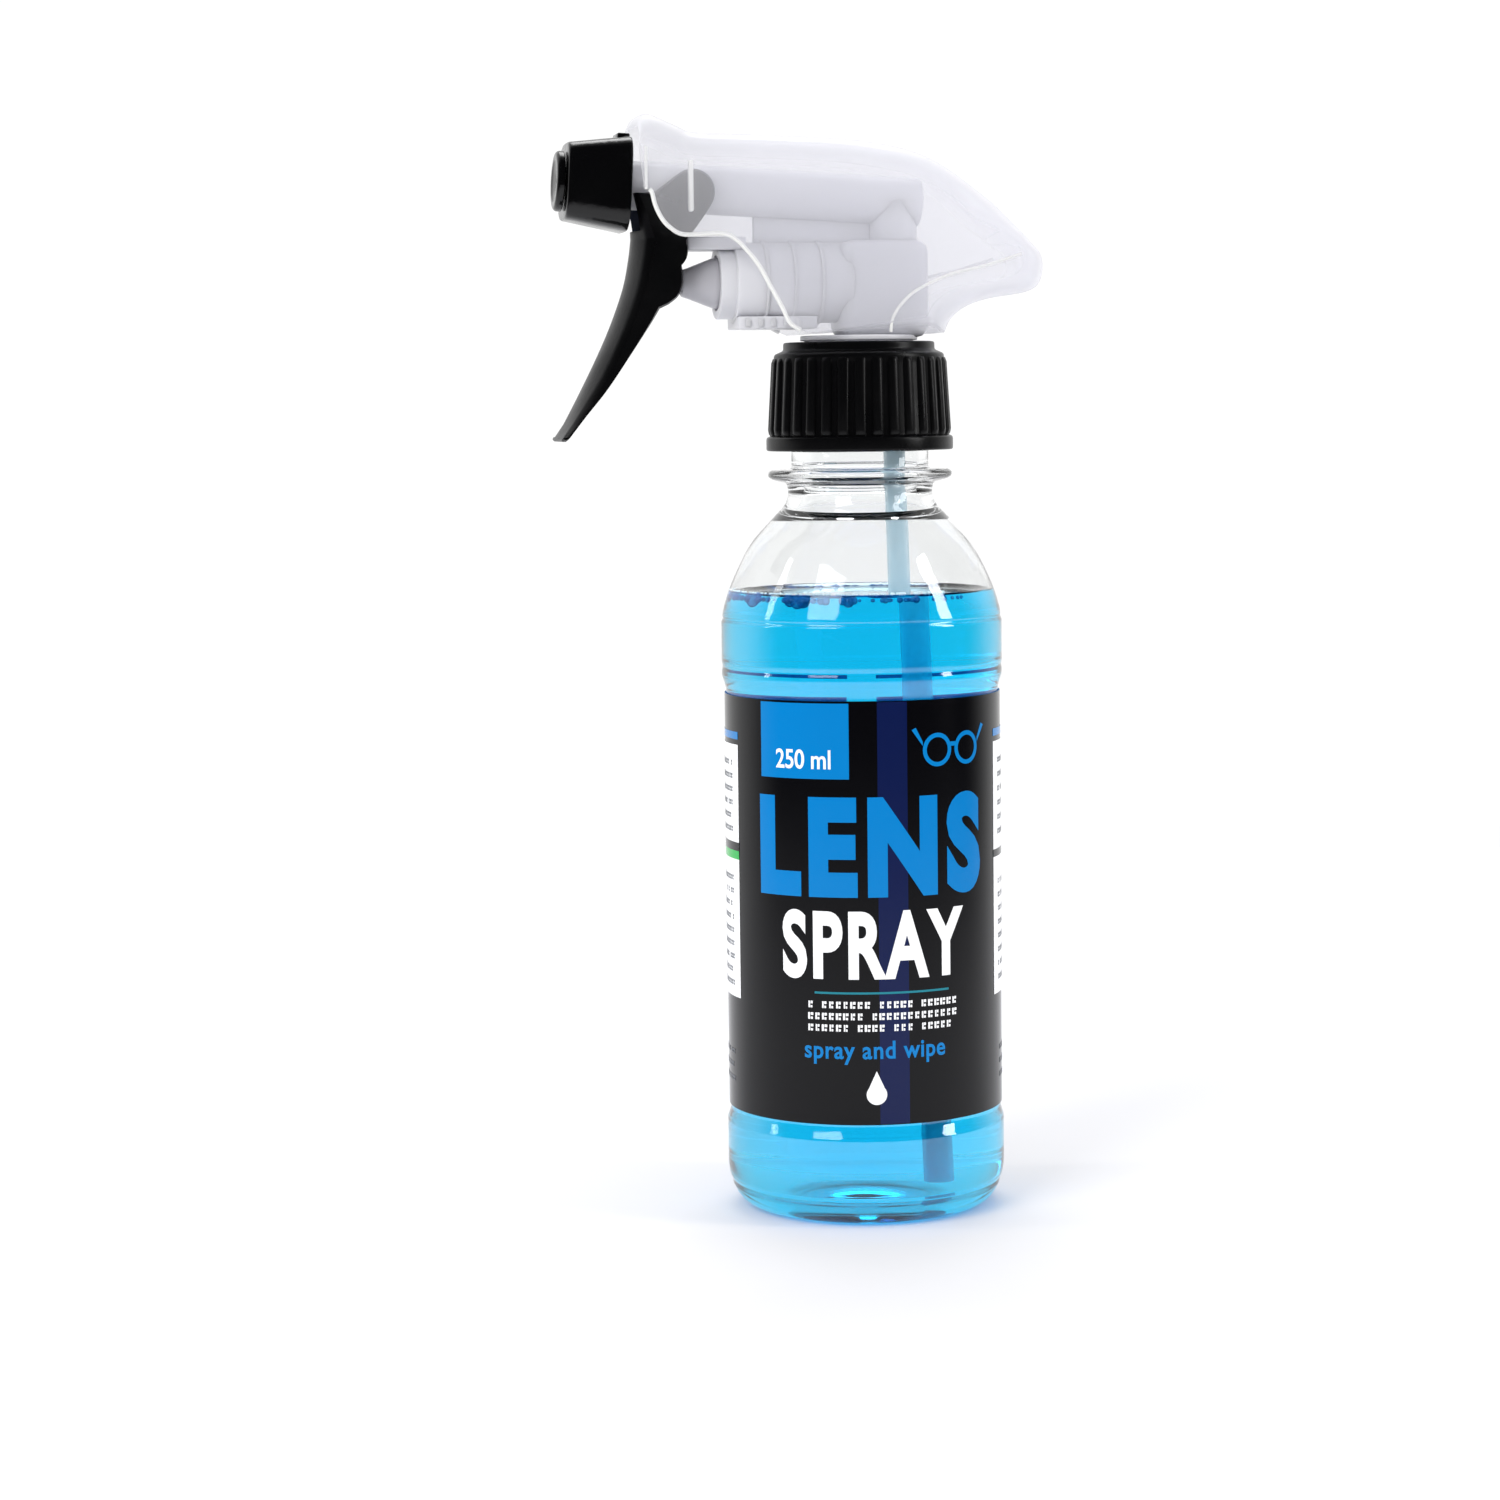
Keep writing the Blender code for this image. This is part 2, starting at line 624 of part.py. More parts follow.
def shroud_outline():
    """Side view: the closed back from nozzle to collar, and the open edge in front of it."""
    back = rounded(
        [(-41.9, 203.6), (-40.6, 205.4), (-38.6, 205.3), (-34.8, 203.4), (-31.2, 202.1),
         (-20.0, 201.7), (-1.2, 200.8), (12.3, 198.3), (23.8, 191.4), (29.4, 186.3),
         (33.2, 182.2), (34.7, 179.4), (34.7, 176.0), (33.4, 173.4), (30.5, 172.2),
         (23.8, 171.0), (19.4, 169.6), (16.4, 167.4), (15.0, 164.7)], 2)
    front = rounded(
        [(-11.6, 164.7), (-14.9, 166.4), (-16.6, 169.6), (-18.6, 173.2), (-20.7, 177.0),
         (-22.9, 179.8), (-25.2, 182.0), (-27.8, 183.0), (-34.5, 182.8), (-37.2, 184.1),
         (-38.8, 185.9), (-39.9, 188.2), (-40.6, 190.7), (-41.9, 191.4)], 1)
    return back, front


def moved_in(outline, distance):
    """The outline's (x, z) points, each moved by distance towards the shroud's inner spine."""
    found = []
    for point in outline:
        here = Vector((*point, 0.0))
        near = []
        for start, end in zip(SHROUD_SPINE, SHROUD_SPINE[1:]):
            start, end = Vector((*start, 0.0)), Vector((*end, 0.0))
            share = (here - start).dot(end - start) / (end - start).length_squared
            near.append(start + (end - start) * min(max(share, 0.0), 1.0))
        way = min((place - here for place in near), key=lambda step: step.length)
        moved = here + way.normalized() * distance
        found.append((moved.x, moved.y))
    return found


def rounded_section(half, radius, steps=3):
    """Pairs of (y, distance in from the outline) across a body with rounded long edges."""
    side = [
        (half - radius + radius * sin(a), radius - radius * cos(a))
        for a in (pi / 2 * k / steps for k in range(steps + 1))
    ]
    return [(-y, inward) for y, inward in side[::-1]] + side


def make_shroud():
    """A thin cover over the pump body, open at the front, below the barrel and at the collar."""
    back, front = shroud_outline()
    shroud = loft("shroud", [
        [(x, y, z) for x, z in moved_in(back, inward) + front]
        for y, inward in rounded_section(SHROUD_HALF, SHROUD_ROUND)
    ], frosted_pp)
    within = moved_in(back, SHROUD_WALL)
    past = [(-60.0, 158.0), (-60.0, 195.0)]
    rings = []
    for y, inward in rounded_section(SHROUD_HALF - SHROUD_WALL, SHROUD_ROUND - SHROUD_WALL):
        line = moved_in(within, inward)
        mouth = (-60.0, line[0][1] - 2.0)
        foot = (line[-1][0], 158.0)
        rings.append([(x, y, z) for x, z in [mouth, *line, foot, *past]])
    return cut(shroud, loft("shroud_hollow", rings))


clear_scene()
parts = new_collection("lens_cleaning_spray")
cutters = new_collection("cutters")

clear_pet = material("clear_pet", (0.86, 0.92, 0.95), 0.05, alpha=0.35)
blue_fluid = material("blue_fluid", (0.0, 0.36, 0.72), 0.05, alpha=0.8)
label_film = material("label_film", (0.02, 0.02, 0.03), 0.3)
black_pp = material("black_pp", (0.012, 0.012, 0.014), 0.35)
natural_pp = material("natural_pp", (0.78, 0.79, 0.82), 0.4)
frosted_pp = material("frosted_pp", (0.86, 0.86, 0.9), 0.35, alpha=0.5)
natural_pe = material("natural_pe", (0.8, 0.84, 0.86), 0.4, alpha=0.8)
soft_white = material("soft_white", (0.85, 0.85, 0.84), 0.6)
dark_rubber = material("dark_rubber", (0.02, 0.02, 0.02), 0.8)
spring_steel = material("spring_steel", (0.6, 0.6, 0.62), 0.3, metallic=1.0)
glass_ball = material("glass_ball", (0.7, 0.8, 0.8), 0.05)

outline = bottle_outline()
make_bottle(outline)
make_fluid(outline)
make_label()
make_gasket()
make_cap()
make_retainer()
make_tube()
make_ball()
make_pump_body()
make_piston()
make_piston_seal()
make_return_spring()
make_trigger()
make_nozzle()
make_orifice()
make_nozzle_seal()
make_spin_core()
make_outlet_valve()
make_outlet_spring()
make_shroud()
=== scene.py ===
import json
import random
from math import ceil, cos, exp, pi, radians, sin, sqrt, tau

import bmesh
import bpy
from mathutils import Matrix, Vector

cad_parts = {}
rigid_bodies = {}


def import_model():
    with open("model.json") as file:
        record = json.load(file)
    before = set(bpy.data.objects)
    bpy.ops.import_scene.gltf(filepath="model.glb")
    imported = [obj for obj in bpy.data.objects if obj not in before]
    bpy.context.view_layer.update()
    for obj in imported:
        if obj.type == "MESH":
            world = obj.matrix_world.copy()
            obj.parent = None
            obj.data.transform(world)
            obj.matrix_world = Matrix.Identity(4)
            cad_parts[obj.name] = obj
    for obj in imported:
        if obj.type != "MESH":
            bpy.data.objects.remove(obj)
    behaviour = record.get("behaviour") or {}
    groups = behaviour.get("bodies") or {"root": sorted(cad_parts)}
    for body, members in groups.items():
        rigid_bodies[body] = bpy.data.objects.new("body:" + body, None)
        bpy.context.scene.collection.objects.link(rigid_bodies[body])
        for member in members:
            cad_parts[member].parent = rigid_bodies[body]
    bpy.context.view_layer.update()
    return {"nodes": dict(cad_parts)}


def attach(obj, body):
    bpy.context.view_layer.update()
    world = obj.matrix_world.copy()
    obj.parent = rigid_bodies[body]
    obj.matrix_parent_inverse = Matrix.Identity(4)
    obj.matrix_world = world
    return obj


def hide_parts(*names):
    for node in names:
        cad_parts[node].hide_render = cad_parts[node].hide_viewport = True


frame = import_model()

mm = 0.001
scene = bpy.context.scene


def linear(hexColour, alpha=1.0):
    parts = [int(hexColour[k:k + 2], 16) / 255 for k in (1, 3, 5)]
    return (*[c / 12.92 if c <= 0.04045 else ((c + 0.055) / 1.055) ** 2.4 for c in parts], alpha)


def addNode(tree, kind, inputs=None, **settings):
    node = tree.nodes.new(kind)
    for key, value in settings.items():
        setattr(node, key, value)
    for key, value in (inputs or {}).items():
        if isinstance(value, bpy.types.NodeSocket):
            tree.links.new(value, node.inputs[key])
        else:
            node.inputs[key].default_value = value
    return node


def showSurface(tree, surface):
    tree.links.new(surface, tree.nodes["Material Output"].inputs["Surface"])


def startMaterial(name, values):
    made = bpy.data.materials.new(name)
    made.use_nodes = True
    tree = made.node_tree
    shader = tree.nodes["Principled BSDF"]
    for key, value in values.items():
        shader.inputs[key].default_value = value
    place = addNode(tree, "ShaderNodeTexCoord").outputs["Object"]
    return made, tree, shader, place


def addGrain(tree, shader, place, size, height, detail=2.0, strength=0.5):
    noise = addNode(tree, "ShaderNodeTexNoise", {"Vector": place, "Scale": 1 / size, "Detail": detail})
    bump = addNode(tree, "ShaderNodeBump", {
        "Height": noise.outputs[0], "Strength": strength, "Distance": height})
    tree.links.new(bump.outputs[0], shader.inputs["Normal"])


def varyRoughness(tree, shader, place, size, low, high):
    noise = addNode(tree, "ShaderNodeTexNoise", {"Vector": place, "Scale": 1 / size, "Detail": 3.0})
    spread = addNode(tree, "ShaderNodeMapRange", {
        "Value": noise.outputs[0], "From Min": 0.3, "From Max": 0.7, "To Min": low, "To Max": high})
    tree.links.new(spread.outputs[0], shader.inputs["Roughness"])


def letLampsThrough(tree, shader, tint):
    # clear parts cast a pale shadow instead of a black one
    ray = addNode(tree, "ShaderNodeLightPath")
    clear = addNode(tree, "ShaderNodeBsdfTransparent", {"Color": tint})
    both = addNode(tree, "ShaderNodeMixShader", {
        0: ray.outputs["Is Shadow Ray"], 1: shader.outputs[0], 2: clear.outputs[0]})
    showSurface(tree, both.outputs[0])


def finishPiece(name, mesh, material, body, nodes=(), sharp=40):
    mesh.materials.clear()
    mesh.materials.append(material)
    mesh.shade_smooth()
    mesh.set_sharp_from_angle(angle=radians(sharp))
    piece = bpy.data.objects.new(name, mesh)
    scene.collection.objects.link(piece)
    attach(piece, body)
    if nodes:
        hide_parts(*nodes)


def meshOf(bm, name, recalc=True):
    bmesh.ops.remove_doubles(bm, verts=bm.verts, dist=0.0000005)
    if recalc:
        bmesh.ops.recalc_face_normals(bm, faces=bm.faces)
    mesh = bpy.data.meshes.new(name)
    bm.to_mesh(mesh)
    bm.free()
    return mesh


def filleted(points, steps=4):
    # (x, y) or (x, y, radius) corners, each radius drawn as a short curve
    found = []
    for k, point in enumerate(points):
        if len(point) == 2 or k in (0, len(points) - 1):
            found.append(Vector(point[:2]))
            continue
        here = Vector(point[:2])
        ends = []
        for other in (points[k - 1], points[k + 1]):
            way = Vector(other[:2]) - here
            ends.append(here + way.normalized() * min(point[2], way.length * 0.48))
        for step in range(steps + 1):
            t = step / steps
            found.append(ends[0] * (1 - t) ** 2 + here * 2 * t * (1 - t) + ends[1] * t * t)
    return [tuple(p) for p in found]


def smoothed(points, steps):
    ends = [points[0], *points, points[-1]]
    found = []
    for a, b, c, d in zip(ends, ends[1:], ends[2:], ends[3:]):
        for k in range(steps):
            t = k / steps
            found.append(tuple(
                0.5 * (2 * q + (r - p) * t + (2 * p - 5 * q + 4 * r - s) * t * t
                       + (3 * q - p - 3 * r + s) * t ** 3)
                for p, q, r, s in zip(a, b, c, d)))
    return found + [points[-1]]


def addRings(bm, rings, closed=False, capped=False):
    # joins rings of (x, y, z) points in millimetres; a ring of one point is a pole
    made = [[bm.verts.new([c * mm for c in point]) for point in ring] for ring in rings]
    pairs = list(zip(made, made[1:]))
    if closed:
        pairs.append((made[-1], made[0]))
    for first, second in pairs:
        count = max(len(first), len(second))
        for k in range(count):
            after = (k + 1) % count
            if len(first) == 1:
                bm.faces.new((first[0], second[after], second[k]))
            elif len(second) == 1:
                bm.faces.new((first[k], first[after], second[0]))
            else:
                bm.faces.new((first[k], first[after], second[after], second[k]))
    if capped:
        bm.faces.new(made[0][::-1])
        bm.faces.new(made[-1])


def addTurned(bm, profile, sides=96, closed=False, place=None):
    # turns (radius, height) points round +Z, or round the axis of place
    rings = []
    for r, z in profile:
        count = 1 if r < 0.0005 else sides
        ring = [Vector((r * cos(tau * k / count), r * sin(tau * k / count), z)) for k in range(count)]
        rings.append([place @ p if place else p for p in ring])
    addRings(bm, rings, closed)


def addTube(bm, points, radius, sides=10):
    # a round bar with flat ends along (x, y, z) points in millimetres
    line = [Vector(p) for p in points]
    turns = [tau * n / sides for n in range(sides)]
    side = (line[1] - line[0]).orthogonal()
    rings = []
    for k, here in enumerate(line):
        way = (line[min(k + 1, len(line) - 1)] - line[max(k - 1, 0)]).normalized()
        side = (side - way * side.dot(way)).normalized()
        up = way.cross(side)
        rings.append([here + side * radius * cos(a) + up * radius * sin(a) for a in turns])
    addRings(bm, rings, capped=True)


def addBlock(bm, low, high, bevel=0.0, place=None):
    made = bmesh.ops.create_cube(bm, size=1)["verts"]
    for vert in made:
        vert.co = [(a + b) / 2 + c * (b - a) for a, b, c in zip(low, high, vert.co)]
    if bevel:
        edges = {edge for vert in made for edge in vert.link_edges}
        made = bmesh.ops.bevel(
            bm, geom=list(edges), offset=bevel, segments=3, affect="EDGES", profile=0.5)["verts"]
    for vert in made:
        vert.co = (place @ vert.co if place else vert.co) * mm


def frameAlong(x, z, tilt=0.0):
    # a frame at (x, 0, z) whose +Z points to the nozzle
    turn = Matrix.Rotation(radians(tilt), 4, "Y") @ Matrix.Rotation(-pi / 2, 4, "Y")
    return Matrix.Translation((x, 0, z)) @ turn


def helix(radius, pitch, turns, low, perTurn=48):
    count = ceil(turns * perTurn)
    angles = [turns * tau * k / count for k in range(count + 1)]
    return [(radius * cos(a), radius * sin(a), low + pitch * a / tau) for a in angles]


def plainMesh(obj, name):
    # what the modifiers or the lettering come to, as a mesh of its own
    bpy.context.view_layer.update()
    graph = bpy.context.evaluated_depsgraph_get()
    mesh = bpy.data.meshes.new_from_object(obj.evaluated_get(graph))
    mesh.name = name
    source = obj.data
    bpy.data.objects.remove(obj, do_unlink=True)
    bpy.data.batch_remove([source])
    return mesh


def cutFrom(solid, cutters, name):
    # takes the cutter meshes out of the solid mesh
    obj = bpy.data.objects.new(name + "Solid", solid)
    scene.collection.objects.link(obj)
    others = []
    for cutter in cutters:
        other = bpy.data.objects.new("cutter", cutter)
        scene.collection.objects.link(other)
        cutting = obj.modifiers.new("cut", "BOOLEAN")
        cutting.object = other
        cutting.operation = "DIFFERENCE"
        others.append(other)
    mesh = plainMesh(obj, name)
    for other in others:
        bpy.data.objects.remove(other, do_unlink=True)
    return mesh


def growWith(tree, seedMesh, values, name):
    # runs a Geometry Nodes tree on a seed mesh and returns the grown mesh
    obj = bpy.data.objects.new(name + "Seed", seedMesh)
    scene.collection.objects.link(obj)
    grow = obj.modifiers.new("grow", "NODES")
    grow.node_group = tree
    sockets = {s.name: s.identifier for s in tree.interface.items_tree if s.in_out == "INPUT"}
    for key, value in values.items():
        grow[sockets[key]] = value
    return plainMesh(obj, name)


def startTree(name, sockets):
    tree = bpy.data.node_groups.new(name, "GeometryNodeTree")
    tree.interface.new_socket(name="Geometry", in_out="INPUT", socket_type="NodeSocketGeometry")
    tree.interface.new_socket(name="Geometry", in_out="OUTPUT", socket_type="NodeSocketGeometry")
    for key, kind in sockets.items():
        tree.interface.new_socket(name=key, in_out="INPUT", socket_type="NodeSocket" + kind)
    return tree, addNode(tree, "NodeGroupInput").outputs


def endTree(tree, geometry, material):
    real = addNode(tree, "GeometryNodeRealizeInstances", {"Geometry": geometry})
    dressed = addNode(tree, "GeometryNodeSetMaterial", {"Geometry": real.outputs[0], "Material": material})
    addNode(tree, "NodeGroupOutput", {"Geometry": dressed.outputs[0]})


camera = {
    "distance": 0.680,  # from the bottle's axis
    "azimuth": -12.0,
    "height": 0.152,
    "aside": 1.797,  # turned away from the bottle, degrees
    "pitch": 5.5,
    "roll": -0.7,
    "lens": 86.4,
}
studio = {
    "floorSize": 1.7,
    "floorKept": 0.16,  # the floor melts into the room from here
    "floorGone": 0.8,
    "floorColour": "#E7E7EA",
    "floorDrop": 0.0004,  # keeps it just clear of the bottle's foot
    "back": 1.05,  # brightness behind the object, and of what the camera sees
    "room": 0.74,
    "mirrored": 0.015,  # dark flags beside the camera, which gloss picks up
    "flagsEnd": (-0.15, 0.6),  # where along Y the flags give way to the bright back
    "lamps": (
        # place, aimed at, width, height, watts, shows in gloss
        ((-0.75, -0.75, 0.75), (0.0, 0.0, 0.12), 0.55, 0.8, 7.5, False),
        ((0.95, -0.5, 0.55), (0.0, 0.0, 0.1), 0.22, 0.9, 5.0, True),
        ((-0.9, 0.1, 0.45), (0.0, 0.0, 0.12), 0.1, 0.7, 1.6, False),
        ((0.1, 0.6, 1.1), (0.0, 0.0, 0.1), 0.7, 0.5, 5.0, True),
    ),
}


def makeCamera(values):
    turn = radians(values["azimuth"])
    ahead = Vector((-sin(turn), cos(turn), 0))
    ahead = Matrix.Rotation(radians(values["aside"]), 3, "Z") @ ahead
    right = ahead.cross(Vector((0, 0, 1)))
    tilt = radians(values["pitch"])
    look = ahead * cos(tilt) - Vector((0, 0, 1)) * sin(tilt)
    facing = Matrix((right, right.cross(look), -look)).transposed()
    facing = facing @ Matrix.Rotation(radians(values["roll"]), 3, "Z")
    data = bpy.data.cameras.new("camera")
    data.lens = values["lens"]
    data.sensor_width = 36
    data.clip_start = 0.01
    obj = bpy.data.objects.new("camera", data)
    scene.collection.objects.link(obj)
    place = Vector((values["distance"] * sin(turn), -values["distance"] * cos(turn), values["height"]))
    obj.matrix_world = Matrix.Translation(place) @ facing.to_4x4()
    scene.camera = obj


def makeFloor(values):
    made, tree, shader, place = startMaterial("paintedFloor", {
        "Base Color": linear(values["floorColour"]), "Roughness": 0.6, "Specular IOR Level": 0.0})
    bm = bmesh.new()
    bmesh.ops.create_grid(bm, x_segments=1, y_segments=1, size=values["floorSize"] / 2)
    away = addNode(tree, "ShaderNodeVectorMath", {0: place}, operation="LENGTH").outputs["Value"]
    fade = addNode(tree, "ShaderNodeMapRange", {
        "Value": away, "From Min": values["floorKept"], "From Max": values["floorGone"]},
        interpolation_type="SMOOTHSTEP")
    clear = addNode(tree, "ShaderNodeBsdfTransparent")
    both = addNode(tree, "ShaderNodeMixShader", {
        0: fade.outputs[0], 1: shader.outputs[0], 2: clear.outputs[0]})
    showSurface(tree, both.outputs[0])
    mesh = meshOf(bm, "floor", recalc=False)
    mesh.materials.append(made)
    floor = bpy.data.objects.new("floor", mesh)
    floor.location.z = -values["floorDrop"]
    scene.collection.objects.link(floor)


def makeLamps(values):
    for k, (spot, aim, width, height, watts, glossy) in enumerate(values["lamps"]):
        data = bpy.data.lights.new(f"lamp{k}", "AREA")
        data.shape = "RECTANGLE"
        data.size = width
        data.size_y = height
        data.energy = watts
        lamp = bpy.data.objects.new(f"lamp{k}", data)
        lamp.location = spot
        lamp.rotation_euler = (Vector(aim) - Vector(spot)).to_track_quat("-Z", "Y").to_euler()
        lamp.visible_glossy = glossy
        scene.collection.objects.link(lamp)


def makeRoom(values):
    world = bpy.data.worlds.new("studio")
    scene.world = world
    world.use_nodes = True
    tree = world.node_tree
    glow = tree.nodes["Background"]
    way = addNode(tree, "ShaderNodeTexCoord").outputs["Generated"]
    split = addNode(tree, "ShaderNodeSeparateXYZ", {0: way})
    share = addNode(tree, "ShaderNodeMapRange", {
        "Value": split.outputs["Y"], "From Min": values["flagsEnd"][0], "From Max": values["flagsEnd"][1],
        "To Min": values["mirrored"], "To Max": values["back"]}, interpolation_type="SMOOTHSTEP")
    ray = addNode(tree, "ShaderNodeLightPath")
    level = addNode(tree, "ShaderNodeMix", {
        0: ray.outputs["Is Glossy Ray"], 2: values["room"], 3: share.outputs[0]})
    seen = addNode(tree, "ShaderNodeMix", {
        0: ray.outputs["Is Camera Ray"], 2: level.outputs[0], 3: values["back"]})
    tree.links.new(seen.outputs[0], glow.inputs["Strength"])
    glow.inputs["Color"].default_value = linear("#FFFFFF")
    scene.view_settings.view_transform = "Standard"


makeCamera(camera)
makeFloor(studio)
makeLamps(studio)
makeRoom(studio)
print("camera and studio ready")


def makeClearPet():
    # PET, blow moulded: water clear and very glossy, with a slow ripple from the mould
    made, tree, shader, place = startMaterial("clearPet", {
        "Base Color": linear("#FEFFFF"), "Roughness": 0.015, "IOR": 1.5, "Transmission Weight": 1.0})
    addGrain(tree, shader, place, 0.009, 0.00025, detail=1.0, strength=0.35)
    letLampsThrough(tree, shader, linear("#EEF6FA"))
    return made


def makeCleaner():
    # water and alcohol with a blue dye: the colour comes from the depth of liquid
    made, tree, shader, _ = startMaterial("blueCleaner", {
        "Base Color": linear("#E4F8FF"), "Roughness": 0.0, "IOR": 1.34, "Transmission Weight": 1.0})
    depth = addNode(tree, "ShaderNodeVolumeAbsorption", {"Color": linear("#3FF3FE"), "Density": 100.0})
    tree.links.new(depth.outputs[0], tree.nodes["Material Output"].inputs["Volume"])
    letLampsThrough(tree, shader, linear("#7FD4F2"))
    return made


def makeFoam():
    # bubbles of the same liquid: half clear skins, deep blue where they are seen edge on, and glints
    made, tree, shader, place = startMaterial("bubbleFilm", {
        "Base Color": linear("#0D6CAE"), "Roughness": 0.04, "IOR": 1.34, "Coat Weight": 1.0,
        "Coat Roughness": 0.02})
    addGrain(tree, shader, place, 0.002, 0.00004, detail=1.0)
    edge = addNode(tree, "ShaderNodeLayerWeight", {"Blend": 0.5})
    share = addNode(tree, "ShaderNodeMapRange", {
        "Value": edge.outputs["Facing"], "From Min": 0.2, "From Max": 0.85, "To Min": 0.5, "To Max": 0.97})
    clear = addNode(tree, "ShaderNodeBsdfTransparent", {"Color": linear("#DDF6FF")})
    both = addNode(tree, "ShaderNodeMixShader", {
        0: share.outputs[0], 1: clear.outputs[0], 2: shader.outputs[0]})
    showSurface(tree, both.outputs[0])
    return made


def makeFrothAndGlints():
    # the finest foam: tiny white beads, partly real froth and partly painted glints standing in for
    # highlights on the bubbles
    made, tree, shader, place = startMaterial("frothAndGlints", {
        "Base Color": linear("#E4F7FF"), "Roughness": 0.15, "IOR": 1.34, "Coat Weight": 0.5})
    addGrain(tree, shader, place, 0.0006, 0.00003)
    return made


def makeBlackPp(name, grain, low, high, colour="#050506", shine=0.2):
    # polypropylene with carbon black, injection moulded: satin, with the grain of the mould
    made, tree, shader, place = startMaterial(name, {
        "Base Color": linear(colour), "IOR": 1.49, "Specular IOR Level": shine})
    addGrain(tree, shader, place, grain, grain * 0.12, detail=3.0, strength=0.35)
    varyRoughness(tree, shader, place, 0.006, low, high)
    return made


def makeNaturalPp(name, colour, roughness):
    # unpigmented polypropylene, injection moulded: milky, light passes a few millimetres into it
    made, tree, shader, place = startMaterial(name, {
        "Base Color": linear(colour), "Roughness": roughness, "IOR": 1.49, "Subsurface Weight": 0.35,
        "Subsurface Radius": (0.0035, 0.0035, 0.0038), "Subsurface Scale": 1.0})
    addGrain(tree, shader, place, 0.0011, 0.00005)
    return made


def makeFrostedPp():
    # clarified polypropylene, moulded thin: a pale haze that shows what lies close behind it
    made, tree, shader, place = startMaterial("frostedPp", {
        "Base Color": linear("#F3F3F7"), "Roughness": 0.2, "IOR": 1.49})
    addGrain(tree, shader, place, 0.004, 0.00006, detail=1.0, strength=0.3)
    haze = addNode(tree, "ShaderNodeBsdfTranslucent", {"Color": linear("#F5F5F8")})
    body = addNode(tree, "ShaderNodeMixShader", {0: 0.45, 1: shader.outputs[0], 2: haze.outputs[0]})
    clear = addNode(tree, "ShaderNodeBsdfTransparent", {"Color": linear("#FCFCFD")})
    rim = addNode(tree, "ShaderNodeLayerWeight", {"Blend": 0.45})
    share = addNode(tree, "ShaderNodeMapRange", {
        "Value": rim.outputs["Facing"], "From Min": 0.0, "From Max": 0.9, "To Min": 0.24, "To Max": 0.82})
    both = addNode(tree, "ShaderNodeMixShader", {
        0: share.outputs[0], 1: clear.outputs[0], 2: body.outputs[0]})
    showSurface(tree, both.outputs[0])
    return made


def makeNaturalPe():
    # low density polyethylene, extruded: waxy and half clear
    made, tree, shader, place = startMaterial("naturalPe", {
        "Base Color": linear("#E6EEF2"), "Roughness": 0.3, "IOR": 1.51})
    addGrain(tree, shader, place, 0.0008, 0.00003)
    haze = addNode(tree, "ShaderNodeBsdfTranslucent", {"Color": linear("#E8F1F5")})
    body = addNode(tree, "ShaderNodeMixShader", {0: 0.4, 1: shader.outputs[0], 2: haze.outputs[0]})
    clear = addNode(tree, "ShaderNodeBsdfTransparent", {"Color": linear("#F2F8FA")})
    both = addNode(tree, "ShaderNodeMixShader", {0: 0.5, 1: clear.outputs[0], 2: body.outputs[0]})
    showSurface(tree, both.outputs[0])
    return made


def makeFilm(name, colour, roughness=0.16):
    # biaxial polypropylene film with flexo ink under gloss varnish
    made, tree, shader, place = startMaterial(name, {
        "Base Color": linear(colour), "Roughness": roughness, "IOR": 1.5, "Specular IOR Level": 0.22,
        "Coat Weight": 0.04, "Coat Roughness": 0.05})
    addGrain(tree, shader, place, 0.014, 0.00012, detail=1.0, strength=0.2)
    return made


def makeRubber():
    # nitrile rubber, moulded: matt black with a fine bloom
    made, tree, shader, place = startMaterial("nitrileRubber", {"Base Color": linear("#141416"), "IOR": 1.52})
    addGrain(tree, shader, place, 0.0005, 0.00004)
    varyRoughness(tree, shader, place, 0.002, 0.6, 0.75)
    return made


def makeSpringSteel():
    # stainless spring wire, drawn: bright, with fine lines from the die
    made, tree, shader, place = startMaterial("springSteel", {
        "Base Color": linear("#B9B9B6"), "Metallic": 1.0})
    varyRoughness(tree, shader, place, 0.0006, 0.18, 0.34)
    return made


def makeBallGlass():
    # soda glass, tumbled: clear green and polished
    made, tree, shader, place = startMaterial("ballGlass", {
        "Base Color": linear("#DDF2EA"), "IOR": 1.52, "Transmission Weight": 1.0})
    varyRoughness(tree, shader, place, 0.001, 0.02, 0.06)
    return made


clearPet = makeClearPet()
blueCleaner = makeCleaner()
bubbleFilm = makeFoam()
frothAndGlints = makeFrothAndGlints()
satinBlackPp = makeBlackPp("satinBlackPp", 0.0004, 0.26, 0.38)
glossBlackPp = makeBlackPp("glossBlackPp", 0.0012, 0.1, 0.2, "#050506", 0.4)
grainBlackPp = makeBlackPp("grainBlackPp", 0.0006, 0.3, 0.42, "#08080A", 0.22)
earPaintedHazePp = makeBlackPp("earPaintedHazePp", 0.0006, 0.5, 0.6, "#343B4B")  # lighter grey-blue: painted light standing in for the glow of the frosted shroud in front of the ears
naturalPp = makeNaturalPp("naturalPp", "#D3D3D8", 0.32)
